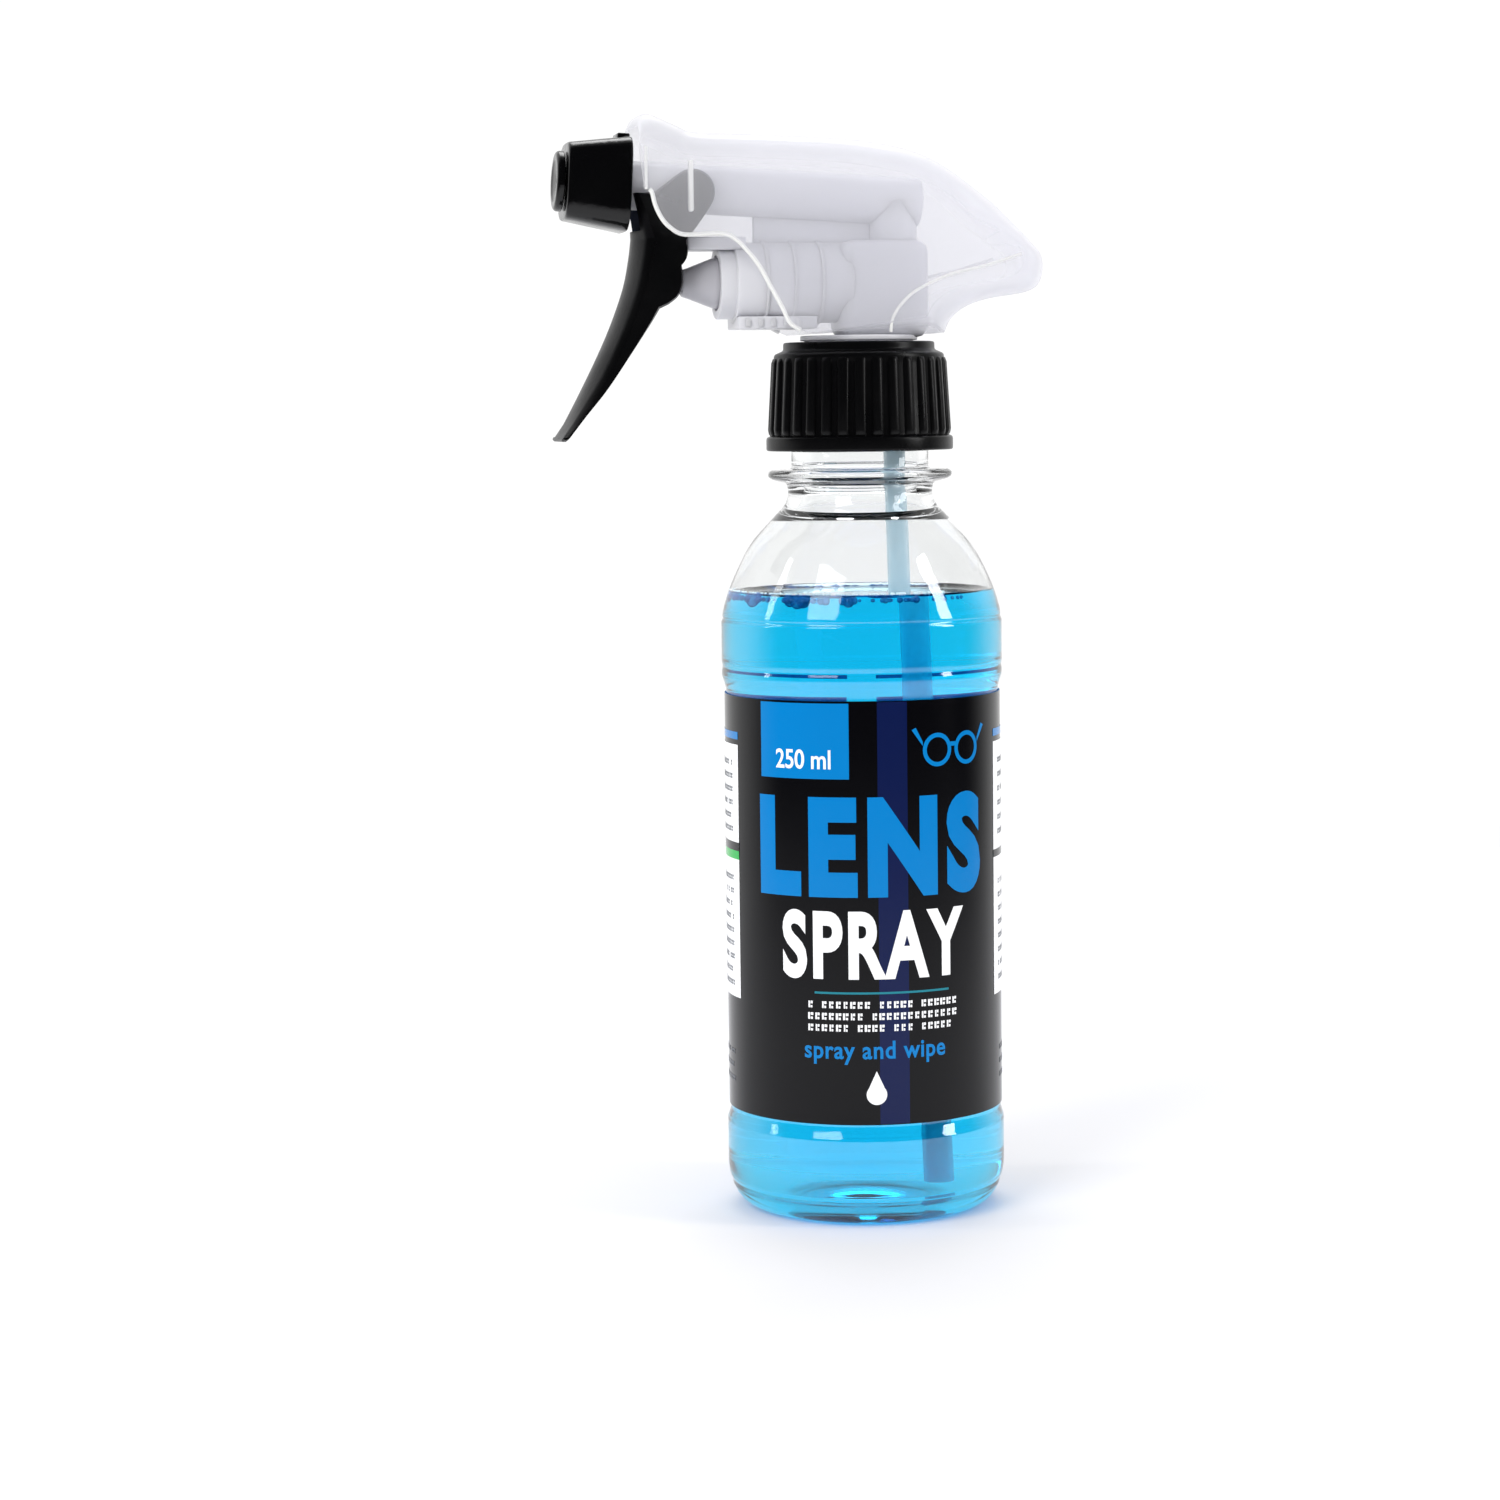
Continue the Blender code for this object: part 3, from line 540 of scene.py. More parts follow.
# darker grey than the pump body: partly the more see-through plunger plastic, partly painted shade matching
# the shaded plunger
plungerGreyAndShadePp = makeNaturalPp("plungerGreyAndShadePp", "#B4B3B9", 0.28)
softPe = makeNaturalPp("softPe", "#E9E9E6", 0.5)
frostedPp = makeFrostedPp()
naturalPe = makeNaturalPe()
filmBlack = makeFilm("filmBlack", "#040407")
filmBlue = makeFilm("filmBlue", "#0079C0")
filmWhite = makeFilm("filmWhite", "#F4F5F7")
filmGreen = makeFilm("filmGreen", "#1FAE4B")
filmTeal = makeFilm("filmTeal", "#1F7C8C")
filmGrey = makeFilm("filmGrey", "#5B6068")
filmNavy = makeFilm("filmNavy", "#0A1744")
filmReverse = makeFilm("filmReverse", "#93A6B8", 0.3)  # the unprinted side
nitrileRubber = makeRubber()
springSteel = makeSpringSteel()
ballGlass = makeBallGlass()

innerFinishes = {
    "neck_gasket": softPe, "tube_retainer": naturalPp, "inlet_ball": ballGlass,
    "piston_seal": softPe, "return_spring": springSteel, "nozzle_seal": nitrileRubber,
    "spin_core": naturalPp, "outlet_valve": softPe, "outlet_spring": springSteel,
}
for name, material in innerFinishes.items():
    for held in frame["nodes"][name].material_slots:
        held.material = material
print("materials ready")


bottle = {
    "bodyR": 26.5, "panelR": 25.7, "heelR": 26.4, "standR": 21.5, "neckR": 13.6,
    "boreR": 10.9, "finishR": 12.55, "ringR": 17.3, "ringZ": 137.6, "lipZ": 157.0,
    "wall": 0.45, "padR": 5.9, "fluidZ": 116.0,
    "heelZ": 8.8, "creaseZ": 4.6, "creaseDeep": 0.28, "creaseWide": 0.45,
    "pitch": 4.0, "threadR": 0.8, "threadZ": 147.5, "threadTurns": 1.5,
}


def bottleOutline(v):
    shoulder = smoothed([
        (v["neckR"], 134.8), (14.3, 132.9), (16.9, 130.0), (20.5, 126.0), (23.1, 121.3),
        (25.0, 117.0), (26.1, 113.4)], 5)
    body = filleted([
        (26.1, 113.4), (26.3, 112.2, 0.3), (26.15, 111.7, 0.3), (v["bodyR"], 111.2, 0.3),
        (v["bodyR"], 103.4, 0.6), (v["bodyR"] - 0.2, 102.7, 0.4), (v["bodyR"], 102.0, 0.4),
        (v["bodyR"], 101.0, 0.4), (v["panelR"] + 0.3, 99.4, 0.6), (v["panelR"], 98.4, 0.6),
        (v["panelR"], 18.6, 0.6), (v["panelR"] + 0.4, 17.2, 0.5), (v["heelR"], 16.4, 0.4),
        (v["heelR"], v["heelZ"])], 4)
    heel = []
    for a in (pi / 2 * k / 30 for k in range(1, 30)):
        z = v["heelZ"] - v["heelZ"] * sin(a)
        crease = v["creaseDeep"] * exp(-((z - v["creaseZ"]) / v["creaseWide"]) ** 2)
        heel.append((v["standR"] + (v["heelR"] - v["standR"]) * cos(a) - crease, z))
    under = filleted([
        (v["standR"], 0.05), (v["standR"] - 1.7, 0.05, 0.8), (17.0, 1.9, 1.4), (9.0, 2.4, 2.0),
        (v["padR"] + 0.4, 0.15, 0.6), (0.0, 0.15)], 4)
    return shoulder[:-1] + body + heel + under


def movedIn(profile, distance):
    # the same outline, a wall's thickness further in
    moved = []
    for k, here in enumerate(profile):
        here = Vector(here)
        before = Vector(profile[max(k - 1, 0)])
        after = Vector(profile[min(k + 1, len(profile) - 1)])
        way = (after - before).normalized()
        moved.append((max(here.x + way.y * distance, 0.0), here.y - way.x * distance))
    moved[-1] = (0.0, profile[-1][1] + distance)
    return moved


def makeBottle(v):
    outline = bottleOutline(v)
    inner = movedIn(outline, v["wall"])
    top = filleted([
        (v["boreR"], 137.5), (v["boreR"], v["lipZ"], 0.5), (v["finishR"], v["lipZ"], 0.6),
        (v["finishR"], 145.6, 0.4), (13.35, 144.9, 0.3), (13.35, 143.6, 0.3), (12.9, 143.1, 0.3),
        (12.9, v["ringZ"] + 2.0, 0.6), (v["ringR"] - 0.6, v["ringZ"] + 1.8, 0.3),
        (v["ringR"], v["ringZ"] + 1.3, 0.4), (v["ringR"], v["ringZ"] + 0.5, 0.4),
        (v["ringR"] - 0.8, v["ringZ"], 0.3), (v["neckR"] + 0.3, v["ringZ"] - 0.7, 0.5),
        (v["neckR"], 135.8)], 4)
    throat = smoothed([
        (v["neckR"] - 0.9, 130.9), (11.6, 133.0), (v["boreR"], 135.8), (v["boreR"], 137.5)], 4)
    wet = [p for p in inner if p[1] < 130.4]
    bm = bmesh.new()
    addTurned(bm, outline[::-1] + top[::-1] + throat[::-1][1:] + wet, 160)
    addTube(bm, helix(v["finishR"] - 0.05, v["pitch"], v["threadTurns"], v["threadZ"]), v["threadR"])
    mesh = meshOf(bm, "bottleShell")
    finishPiece("bottleShell", mesh, clearPet, "bottle_body", ["bottle"])


def makeLiquid(v):
    # its skin lies inside the plastic, so no air shows between the two
    wall = movedIn(bottleOutline(v), v["wall"] * 0.5)
    wet = [p for p in wall if p[1] < v["fluidZ"] + 1.0]
    rim = wet[0][0]
    surface = [(0.0, v["fluidZ"]), (6.0, v["fluidZ"]), (14.0, v["fluidZ"]), (rim - 4.0, v["fluidZ"]),
               (rim - 1.6, v["fluidZ"] + 0.15), (rim - 0.7, v["fluidZ"] + 0.5)]
    bm = bmesh.new()
    addTurned(bm, surface + wet, 160)
    mesh = meshOf(bm, "liquid")
    finishPiece("liquid", mesh, blueCleaner, "bottle_body", ["cleaning_fluid"])


makeBottle(bottle)
makeLiquid(bottle)

foam = {
    # name, how many, from and to angle, smallest and largest radius, seed, wall radius, height, finish
    "groups": (
        ("bubblesLarge", 17, 170.0, 254.0, 0.75, 1.75, 7, 24.9, 0.0, bubbleFilm),
        ("bubblesSmall", 80, 160.0, 306.0, 0.28, 0.75, 19, 24.9, 0.0, bubbleFilm),
        ("bubblesBack", 46, 40.0, 128.0, 0.3, 0.9, 23, 24.9, 0.0, bubbleFilm),
        # white beads just above the level: partly froth, partly painted glints for highlights on the bubbles
        ("bubblesFrothGlints", 170, 158.0, 296.0, 0.16, 0.4, 31, 24.7, 1.1, frothAndGlints),
    ),
    "apart": (1.0, 1.35),  # centre to wall, in radii of the bubble
    "sunk": 0.3,  # centre under the liquid's level, in radii
}


def makeBubbleTree(v):
    # bubbles gathered where the liquid meets the wall, most of them small
    tree, given = startTree("bubbleRing", {
        "Count": "Int", "From": "Float", "To": "Float", "Least": "Float", "Most": "Float",
        "Radius": "Float", "Level": "Float", "Seed": "Int"})
    dots = addNode(tree, "GeometryNodePoints", {"Count": given["Count"], "Radius": 0.001})
    turn = addNode(tree, "FunctionNodeRandomValue", {2: given["From"], 3: given["To"], "Seed": given["Seed"]})
    index = addNode(tree, "GeometryNodeInputIndex")
    share = addNode(tree, "FunctionNodeRandomValue", {2: 0.0, 3: 1.0, "ID": index.outputs[0], "Seed": 31})
    skewed = addNode(tree, "ShaderNodeMath", {0: share.outputs[1], 1: 2.0}, operation="POWER")
    size = addNode(tree, "ShaderNodeMapRange", {
        "Value": skewed.outputs[0], "To Min": given["Least"], "To Max": given["Most"]})
    apart = addNode(tree, "FunctionNodeRandomValue", {2: v["apart"][0], 3: v["apart"][1], "Seed": 53})
    inward = addNode(tree, "ShaderNodeMath", {0: size.outputs[0], 1: apart.outputs[1]}, operation="MULTIPLY")
    radius = addNode(tree, "ShaderNodeMath", {0: given["Radius"], 1: inward.outputs[0]}, operation="SUBTRACT")
    east = addNode(tree, "ShaderNodeMath", {0: turn.outputs[1]}, operation="COSINE")
    north = addNode(tree, "ShaderNodeMath", {0: turn.outputs[1]}, operation="SINE")
    x = addNode(tree, "ShaderNodeMath", {0: radius.outputs[0], 1: east.outputs[0]}, operation="MULTIPLY")
    y = addNode(tree, "ShaderNodeMath", {0: radius.outputs[0], 1: north.outputs[0]}, operation="MULTIPLY")
    z = addNode(tree, "ShaderNodeMath", {
        0: size.outputs[0], 1: -v["sunk"], 2: given["Level"]}, operation="MULTIPLY_ADD")
    spot = addNode(tree, "ShaderNodeCombineXYZ", {0: x.outputs[0], 1: y.outputs[0], 2: z.outputs[0]})
    placed = addNode(tree, "GeometryNodeSetPosition", {
        "Geometry": dots.outputs[0], "Position": spot.outputs[0]})
    balls = addNode(tree, "GeometryNodeInstanceOnPoints", {
        "Points": placed.outputs[0], "Instance": given["Geometry"], "Scale": size.outputs[0]})
    endTree(tree, balls.outputs[0], bubbleFilm)
    return tree


def makeBubbles(v):
    tree = makeBubbleTree(v)
    for name, count, start, end, least, most, seed, radius, height, finish in v["groups"]:
        bm = bmesh.new()
        bmesh.ops.create_uvsphere(bm, u_segments=24, v_segments=14, radius=1.0)
        mesh = growWith(tree, meshOf(bm, "ball"), {
            "Count": count, "From": radians(start), "To": radians(end), "Least": least * mm,
            "Most": most * mm, "Radius": radius * mm, "Level": (bottle["fluidZ"] + height) * mm,
            "Seed": seed}, name)
        finishPiece(name, mesh, finish, "bottle_body")


makeBubbles(foam)
print("bottle filled")


label = {
    "radius": 25.95, "thick": 0.09, "low": 19.3, "high": 97.7, "seam": 3.0,
    "turn": -102.0,  # degrees from +X to the middle of the front
    "centre": 2.1,  # the artwork sits this far to the right of that
    "ink": 0.03, "step": 0.8,
    "first": 0.035, "second": 0.07,  # heights of two coats of ink
}


def wrapped(mesh, v, height):
    # cuts flat artwork (x along the wrap, y up) into narrow strips and wraps it round the bottle
    bm = bmesh.new()
    bm.from_mesh(mesh)
    xs = [vert.co.x for vert in bm.verts]
    for k in range(ceil(min(xs) / v["step"]), ceil(max(xs) / v["step"])):
        bmesh.ops.bisect_plane(
            bm, geom=bm.verts[:] + bm.edges[:] + bm.faces[:], plane_co=(k * v["step"], 0, 0),
            plane_no=(1, 0, 0))
    bmesh.ops.remove_doubles(bm, verts=bm.verts, dist=0.0001)
    for face in bm.faces:
        face.normal_update()
        if face.normal.z < 0:
            face.normal_flip()
    raised = bmesh.ops.extrude_face_region(bm, geom=bm.faces[:], use_keep_orig=True)["geom"]
    for vert in (g for g in raised if isinstance(g, bmesh.types.BMVert)):
        vert.co.z += v["ink"]
    base = radians(v["turn"])
    outer = v["radius"] + v["thick"] + height
    for vert in bm.verts:
        turn = base + (vert.co.x + v["centre"]) / outer
        r = outer + vert.co.z
        vert.co = (r * cos(turn) * mm, r * sin(turn) * mm, vert.co.y * mm)
    return meshOf(bm, mesh.name)


def flatShapes(name, shapes):
    # each shape is an outline of (x, y) points, filled
    bm = bmesh.new()
    for shape in shapes:
        bm.faces.new([bm.verts.new((x, y, 0)) for x, y in shape])
    mesh = bpy.data.meshes.new(name)
    bm.to_mesh(mesh)
    bm.free()
    return mesh


def rectangle(left, right, low, high):
    return [(left, low), (right, low), (right, high), (left, high)]


def flatText(name, text, left, right, low, high, weight=0.0, spacing=1.0):
    # lettering stretched to fill its box
    curve = bpy.data.curves.new(name, "FONT")
    curve.body = text
    curve.offset = weight
    curve.space_character = spacing
    curve.resolution_u = 6
    curve.fill_mode = "FRONT"
    obj = bpy.data.objects.new(name, curve)
    scene.collection.objects.link(obj)
    mesh = plainMesh(obj, name)
    xs = sorted(vert.co.x for vert in mesh.vertices)
    ys = sorted(vert.co.y for vert in mesh.vertices)
    for vert in mesh.vertices:
        vert.co.x = left + (vert.co.x - xs[0]) / (xs[-1] - xs[0]) * (right - left)
        vert.co.y = low + (vert.co.y - ys[0]) / (ys[-1] - ys[0]) * (high - low)
        vert.co.z = 0
    return mesh


def addPrint(name, mesh, material, height=label["first"]):
    made = wrapped(mesh, label, height)
    finishPiece(name, made, material, "bottle_body")


def makeSleeve(v):
    half = pi - v["seam"] / 2 / v["radius"]
    base = radians(v["turn"])
    count = 180
    rings = []
    for k in range(count + 1):
        turn = base - half + 2 * half * k / count
        section = ((v["radius"], v["low"]), (v["radius"] + v["thick"], v["low"]),
                   (v["radius"] + v["thick"], v["high"]), (v["radius"], v["high"]))
        rings.append([(r * cos(turn), r * sin(turn), z) for r, z in section])
    bm = bmesh.new()
    addRings(bm, rings, capped=True)
    mesh = meshOf(bm, "labelSleeve")
    finishPiece("labelSleeve", mesh, filmBlack, "bottle_body", ["wrap_label"])
    mesh.materials.append(filmReverse)
    for face in mesh.polygons:
        if face.normal.dot(face.center.normalized()) < -0.2 and abs(face.normal.z) < 0.5:
            face.material_index = 1


artwork = {
    # left, right, low and high edges on the unrolled sleeve; then how bold and how widely spaced
    # tint: a navy stripe of painted light, the liquid's glow through the film beside the tube
    "tint": (0.6, 6.2, 19.5, 97.5),
    "block": (-22.9, -4.6, 83.4, 97.3),
    "rule": (-11.5, 14.5, 43.7, 44.1),
    "volume": (-19.2, -8.0, 85.2, 88.8, 0.015),
    "wordTop": (-23.4, 23.4, 61.4, 80.3, 0.055, 1.22),
    "wordLow": (-18.1, 18.2, 46.3, 59.2, 0.036, 1.16),
    "use": (-13.6, 13.6, 30.6, 35.0, 0.02, 1.08),
    "lensAt": (12.4, 19.4), "lensZ": 88.4, "lensR": 3.1, "lensHole": 2.3,
    "dropR": 1.9, "dropZ": 25.0, "dropTip": 29.4,
}


def circleAt(x, y, radius, sides=32):
    return [(x + radius * cos(tau * k / sides), y + radius * sin(tau * k / sides)) for k in range(sides)]


def spectacles(v):
    shapes = []
    for middle in v["lensAt"]:
        outer = circleAt(middle, v["lensZ"], v["lensR"])
        inner = circleAt(middle, v["lensZ"], v["lensHole"])
        for k in range(len(outer)):
            shapes.append([outer[k - 1], outer[k], inner[k], inner[k - 1]])
    shapes.append(rectangle(15.3, 16.5, 88.9, 89.7))
    shapes.append([(9.3, 89.2), (9.3, 90.0), (7.9, 92.6), (7.1, 92.2)])
    shapes.append([(22.5, 90.0), (22.5, 89.2), (24.7, 92.2), (23.9, 92.6)])
    return shapes


def drop(v):
    turns = [radians(-220 + 260 * k / 24) for k in range(25)]
    bowl = [(v["dropR"] * cos(a), v["dropZ"] + v["dropR"] * sin(a)) for a in turns]
    return [bowl + [(0.0, v["dropTip"])]]


def makeFront(v):
    second = label["second"]
    # painted light: a navy stripe on the film beside the tube stands in for the liquid glowing through the
    # film
    addPrint("labelPaintedGlow", flatShapes("tint", [rectangle(*v["tint"])]), filmNavy, 0.0)
    addPrint("labelBlueBlock", flatShapes("block", [rectangle(*v["block"])]), filmBlue)
    addPrint("labelVolume", flatText("volume", "250 ml", *v["volume"]), filmWhite, second)
    addPrint("labelWordTop", flatText("top", "LENS", *v["wordTop"]), filmBlue)
    addPrint("labelWordLow", flatText("low", "SPRAY", *v["wordLow"]), filmWhite)
    addPrint("labelRule", flatShapes("rule", [rectangle(*v["rule"])]), filmTeal)
    addPrint("labelSpectacles", flatShapes("spectacles", spectacles(v)), filmBlue)
    addPrint("labelDrop", flatShapes("drop", drop(v)), filmWhite)
    addPrint("labelUse", flatText("use", "spray and wipe", *v["use"]), filmBlue)


panels = {
    "left": (-79.4, -30.8), "right": (29.3, 76.2), "low": 40.8, "high": 88.6,
    "codeWide": 20.0, "codeLow": 44.5, "codeHigh": 60.0, "codeSeed": 5,
}
panelPrint = {
    # left, right, lowest line, lines, pitch, letter height, film, seed
    "labelTextLeftTop": (-76.9, -33.5, 72.6, 6, 2.5, 0.95, filmGrey, 3),
    "labelTextLeftLow": (-76.9, -33.5, 43.4, 9, 2.5, 0.95, filmGrey, 8),
    "labelTextRightTop": (32.0, 73.7, 71.4, 6, 2.7, 0.95, filmGrey, 12),
    "labelTextRightLow": (32.0, 52.2, 43.8, 8, 2.6, 0.95, filmGrey, 15),
}
darkPrint = {
    "labelSmallPrint": (-13.0, 16.5, 37.4, 3, 2.15, 1.25, filmWhite, 4),
    "labelFooterLeft": (-75.4, -34.0, 25.0, 3, 2.6, 0.9, filmGrey, 21),
    "labelFooterRight": (33.0, 72.2, 25.0, 3, 2.6, 0.9, filmGrey, 23),
}


def makePrintTree():
    # lines of small marks of random width; one place in six stays empty, like the gap between words
    tree, given = startTree("printLines", {
        "Count": "Int", "Left": "Float", "Right": "Float", "Low": "Float", "Pitch": "Float",
        "Per Row": "Int", "Height": "Float", "Seed": "Int"})
    index = addNode(tree, "GeometryNodeInputIndex").outputs[0]
    part = addNode(tree, "ShaderNodeMath", {0: index, 1: given["Per Row"]}, operation="DIVIDE")
    row = addNode(tree, "ShaderNodeMath", {0: part.outputs[0]}, operation="FLOOR")
    column = addNode(tree, "ShaderNodeMath", {0: index, 1: given["Per Row"]}, operation="MODULO")
    long = addNode(tree, "ShaderNodeMath", {0: given["Right"], 1: given["Left"]}, operation="SUBTRACT")
    cell = addNode(tree, "ShaderNodeMath", {0: long.outputs[0], 1: given["Per Row"]}, operation="DIVIDE")
    middle = addNode(tree, "ShaderNodeMath", {0: column.outputs[0], 1: 0.5}, operation="ADD")
    x = addNode(tree, "ShaderNodeMath", {
        0: middle.outputs[0], 1: cell.outputs[0], 2: given["Left"]}, operation="MULTIPLY_ADD")
    y = addNode(tree, "ShaderNodeMath", {
        0: row.outputs[0], 1: given["Pitch"], 2: given["Low"]}, operation="MULTIPLY_ADD")
    spot = addNode(tree, "ShaderNodeCombineXYZ", {0: x.outputs[0], 1: y.outputs[0]})
    dots = addNode(tree, "GeometryNodePoints", {"Count": given["Count"]})
    placed = addNode(tree, "GeometryNodeSetPosition", {
        "Geometry": dots.outputs[0], "Position": spot.outputs[0]})
    share = addNode(tree, "FunctionNodeRandomValue", {2: 0.5, 3: 0.84, "Seed": given["Seed"]})
    wide = addNode(tree, "ShaderNodeMath", {0: share.outputs[1], 1: cell.outputs[0]}, operation="MULTIPLY")
    size = addNode(tree, "ShaderNodeCombineXYZ", {0: wide.outputs[0], 1: given["Height"], 2: 1.0})
    chance = addNode(tree, "FunctionNodeRandomValue", {2: 0.0, 3: 1.0, "Seed": 77})
    filled = addNode(tree, "ShaderNodeMath", {0: chance.outputs[1], 1: 0.84}, operation="LESS_THAN")
    marks = addNode(tree, "GeometryNodeInstanceOnPoints", {
        "Points": placed.outputs[0], "Selection": filled.outputs[0], "Instance": given["Geometry"],
        "Scale": size.outputs[0]})
    endTree(tree, marks.outputs[0], filmGrey)
    return tree


def makeSmallPrint(tree, v, coat):
    for name, (left, right, low, rows, pitch, height, film, seed) in v.items():
        perRow = max(2, round((right - left) / (height * 1.05)))
        mark = flatShapes("mark", [
            rectangle(-0.5, -0.12, -0.5, 0.5), rectangle(0.0, 0.5, 0.1, 0.5),
            rectangle(0.0, 0.42, -0.5, -0.15)])
        mesh = growWith(tree, mark, {
            "Count": rows * perRow, "Left": left, "Right": right, "Low": low, "Pitch": pitch,
            "Per Row": perRow, "Height": height, "Seed": seed}, name)
        addPrint(name, mesh, film, label[coat])


def makePanels(v):
    # white text panels towards the back, on both sides of the seam
    left, right, second = v["left"], v["right"], label["second"]
    for name, side in (("labelPanelLeft", left), ("labelPanelRight", right)):
        addPrint(name, flatShapes("panel", [rectangle(*side, v["low"], v["high"])]), filmWhite)
    edges = [rectangle(*side, v["high"] + 1.0, v["high"] + 2.4) for side in (left, right)]
    addPrint("labelEdges", flatShapes("edges", edges), filmBlue)
    addPrint("labelGreen", flatShapes("green", [rectangle(*left, 67.0, 68.6)]), filmGreen, second)
    stripes = [rectangle(*left, 68.6, 70.2), rectangle(*right, 66.8, 68.2)]
    addPrint("labelStripe", flatShapes("stripe", stripes), filmBlack, second)


def makeStripCode(v):
    # a blank code of plain bars
    bars = []
    place = v["right"][1] - v["codeWide"]
    draw = random.Random(v["codeSeed"])
    while place < v["right"][1] - 3.5:
        wide = draw.choice((0.35, 0.5, 0.8))
        bars.append(rectangle(place, place + wide, v["codeLow"], v["codeHigh"]))
        place += wide + draw.choice((0.35, 0.5, 0.7))
    addPrint("labelStripCode", flatShapes("code", bars), filmBlack, label["second"])


makeSleeve(label)
makeFront(artwork)
makePanels(panels)
printTree = makePrintTree()
makeSmallPrint(printTree, panelPrint, "second")
makeStripCode(panels)
makeSmallPrint(printTree, darkPrint, "first")
print("label printed")


cap = {
    "low": 143.0, "high": 163.2, "bore": 14.3, "hole": 10.6, "bandR": 17.55, "ribR": 17.3,
    "topR": 16.4, "ringR": 14.2, "threadTurns": 1.25,
    "ribs": 32, "ribLow": 145.4, "ribHigh": 160.6, "ribDeep": 0.95,
    "ribShare": 0.7,  # how much of the way round is rib
    # share of the rib's height, share of its full depth there
    "ribSwell": ((0.0, 0.0), (0.02, 0.45), (0.05, 0.8), (0.1, 1.0), (0.5, 1.0), (0.92, 1.0),
                 (0.97, 0.75), (1.0, 0.0)),
}


def makeCap(v):
    inside = bottle["lipZ"] + 3.5
    profile = filleted([
        (v["hole"], inside), (v["hole"], v["high"], 0.4), (v["ringR"], v["high"], 0.5),
        (v["ringR"], 161.7, 0.4), (15.0, 161.35, 0.3), (v["topR"] - 0.35, 160.9, 0.9),
        (v["topR"] - 0.5, 159.4, 0.4), (16.55, v["low"] + 2.9, 0.3), (v["bandR"] - 0.1, v["low"] + 2.5, 0.3),
        (v["bandR"], v["low"] + 2.1, 0.3), (v["bandR"], v["low"], 0.45), (v["bore"], v["low"], 0.4),
        (v["bore"], inside, 0.3), (v["hole"], inside)], 4)[:-1]
    bm = bmesh.new()
    addTurned(bm, profile, 144, closed=True)
    low = bottle["threadZ"] + bottle["pitch"] / 2
    thread = helix(v["bore"] + 0.05, bottle["pitch"], v["threadTurns"], low)
    addTube(bm, thread, bottle["threadR"])
    finishPiece("capShell", meshOf(bm, "capShell"), satinBlackPp, "cap", ["screw_cap"])


def makeRibs(v):
    tree, given = startTree("ribRing", {"Count": "Int"})
    index = addNode(tree, "GeometryNodeInputIndex").outputs[0]
    part = addNode(tree, "ShaderNodeMath", {0: tau, 1: given["Count"]}, operation="DIVIDE")
    turn = addNode(tree, "ShaderNodeMath", {0: index, 1: part.outputs[0]}, operation="MULTIPLY")
    way = addNode(tree, "ShaderNodeCombineXYZ", {2: turn.outputs[0]})
    dots = addNode(tree, "GeometryNodePoints", {"Count": given["Count"]})
    ribs = addNode(tree, "GeometryNodeInstanceOnPoints", {
        "Points": dots.outputs[0], "Instance": given["Geometry"], "Rotation": way.outputs[0]})
    endTree(tree, ribs.outputs[0], satinBlackPp)
    bm = bmesh.new()
    rings = []
    half = pi * v["topR"] / v["ribs"] * v["ribShare"]
    for share, rise in v["ribSwell"]:
        z = v["ribLow"] + (v["ribHigh"] - v["ribLow"]) * share
        crest = v["ribR"] + (v["topR"] - v["ribR"]) * share
        base = crest - v["ribDeep"]
        ring = []
        for k in range(9):
            a = pi * k / 8
            ring.append((base + (crest - base) * rise * sin(a) ** 0.8, -half * cos(a), z))
        ring.append((base - 0.5, half, z))
        ring.append((base - 0.5, -half, z))
        rings.append(ring)
    addRings(bm, rings, capped=True)
    mesh = growWith(tree, meshOf(bm, "rib"), {"Count": v["ribs"]}, "capRibs")
    finishPiece("capRibs", mesh, satinBlackPp, "cap")


makeCap(cap)
makeRibs(cap)
print("cap ribbed")


pump = {
    "riserX": 6.6, "cylinderZ": 174.3, "cylinderR": 7.5, "cylinderBore": 5.6, "collarR": 6.7,
    "collarBore": 5.1, "front": 24.1, "end": 4.6, "collarFront": 27.1,
    "barrelR": 4.5, "barrelBore": 2.8, "tipR": 3.7, "pivotX": -31.2, "pivotZ": 191.2,
    "barrelZ": 191.6, "tilt": 3.5, "pinR": 1.7, "barrelEnd": 12.0, "tipEnd": 16.8,
    "tubeR": 2.1, "tubeBore": 1.5, "tubeLow": 4.5,
    "pistonR": 4.7, "pistonBack": 12.4, "noseAt": 30.7, "springBore": 3.3, "springEnd": 24.4,
    "pinHalf": 6.2, "ringsAt": (8.0, 13.2, 18.4),
    "blocks": (
        # low corner, high corner, rounding
        ((-4.4, -6.9, 163.9), (12.4, 6.9, 182.0), 2.4),  # valve chamber
        ((-20.0, -0.9, 180.0), (4.0, 0.9, 188.0), 0.3),  # web under the barrel
        ((-33.0, -4.6, 180.3), (-22.0, 4.6, 182.7), 0.4),  # shelf behind the trigger
        ((-23.9, -6.0, 165.7), (-9.0, 6.0, 168.0), 0.3),  # guide rail
    ),
    "teeth": 5, "toothX": -22.6, "toothPitch": 2.4,
}


def barrelFrame():
    return frameAlong(pump["pivotX"], pump["barrelZ"], pump["tilt"])


def addPin(bm, radius, half, rounding):
    # the trigger's pin, from cheek to cheek
    way = Matrix.Translation((pump["pivotX"], 0, pump["pivotZ"])) @ Matrix.Rotation(pi / 2, 4, "X")
    addTurned(bm, filleted([
        (0.0, half), (radius, half, rounding), (radius, -half, rounding), (0.0, -half)]), 32, place=way)


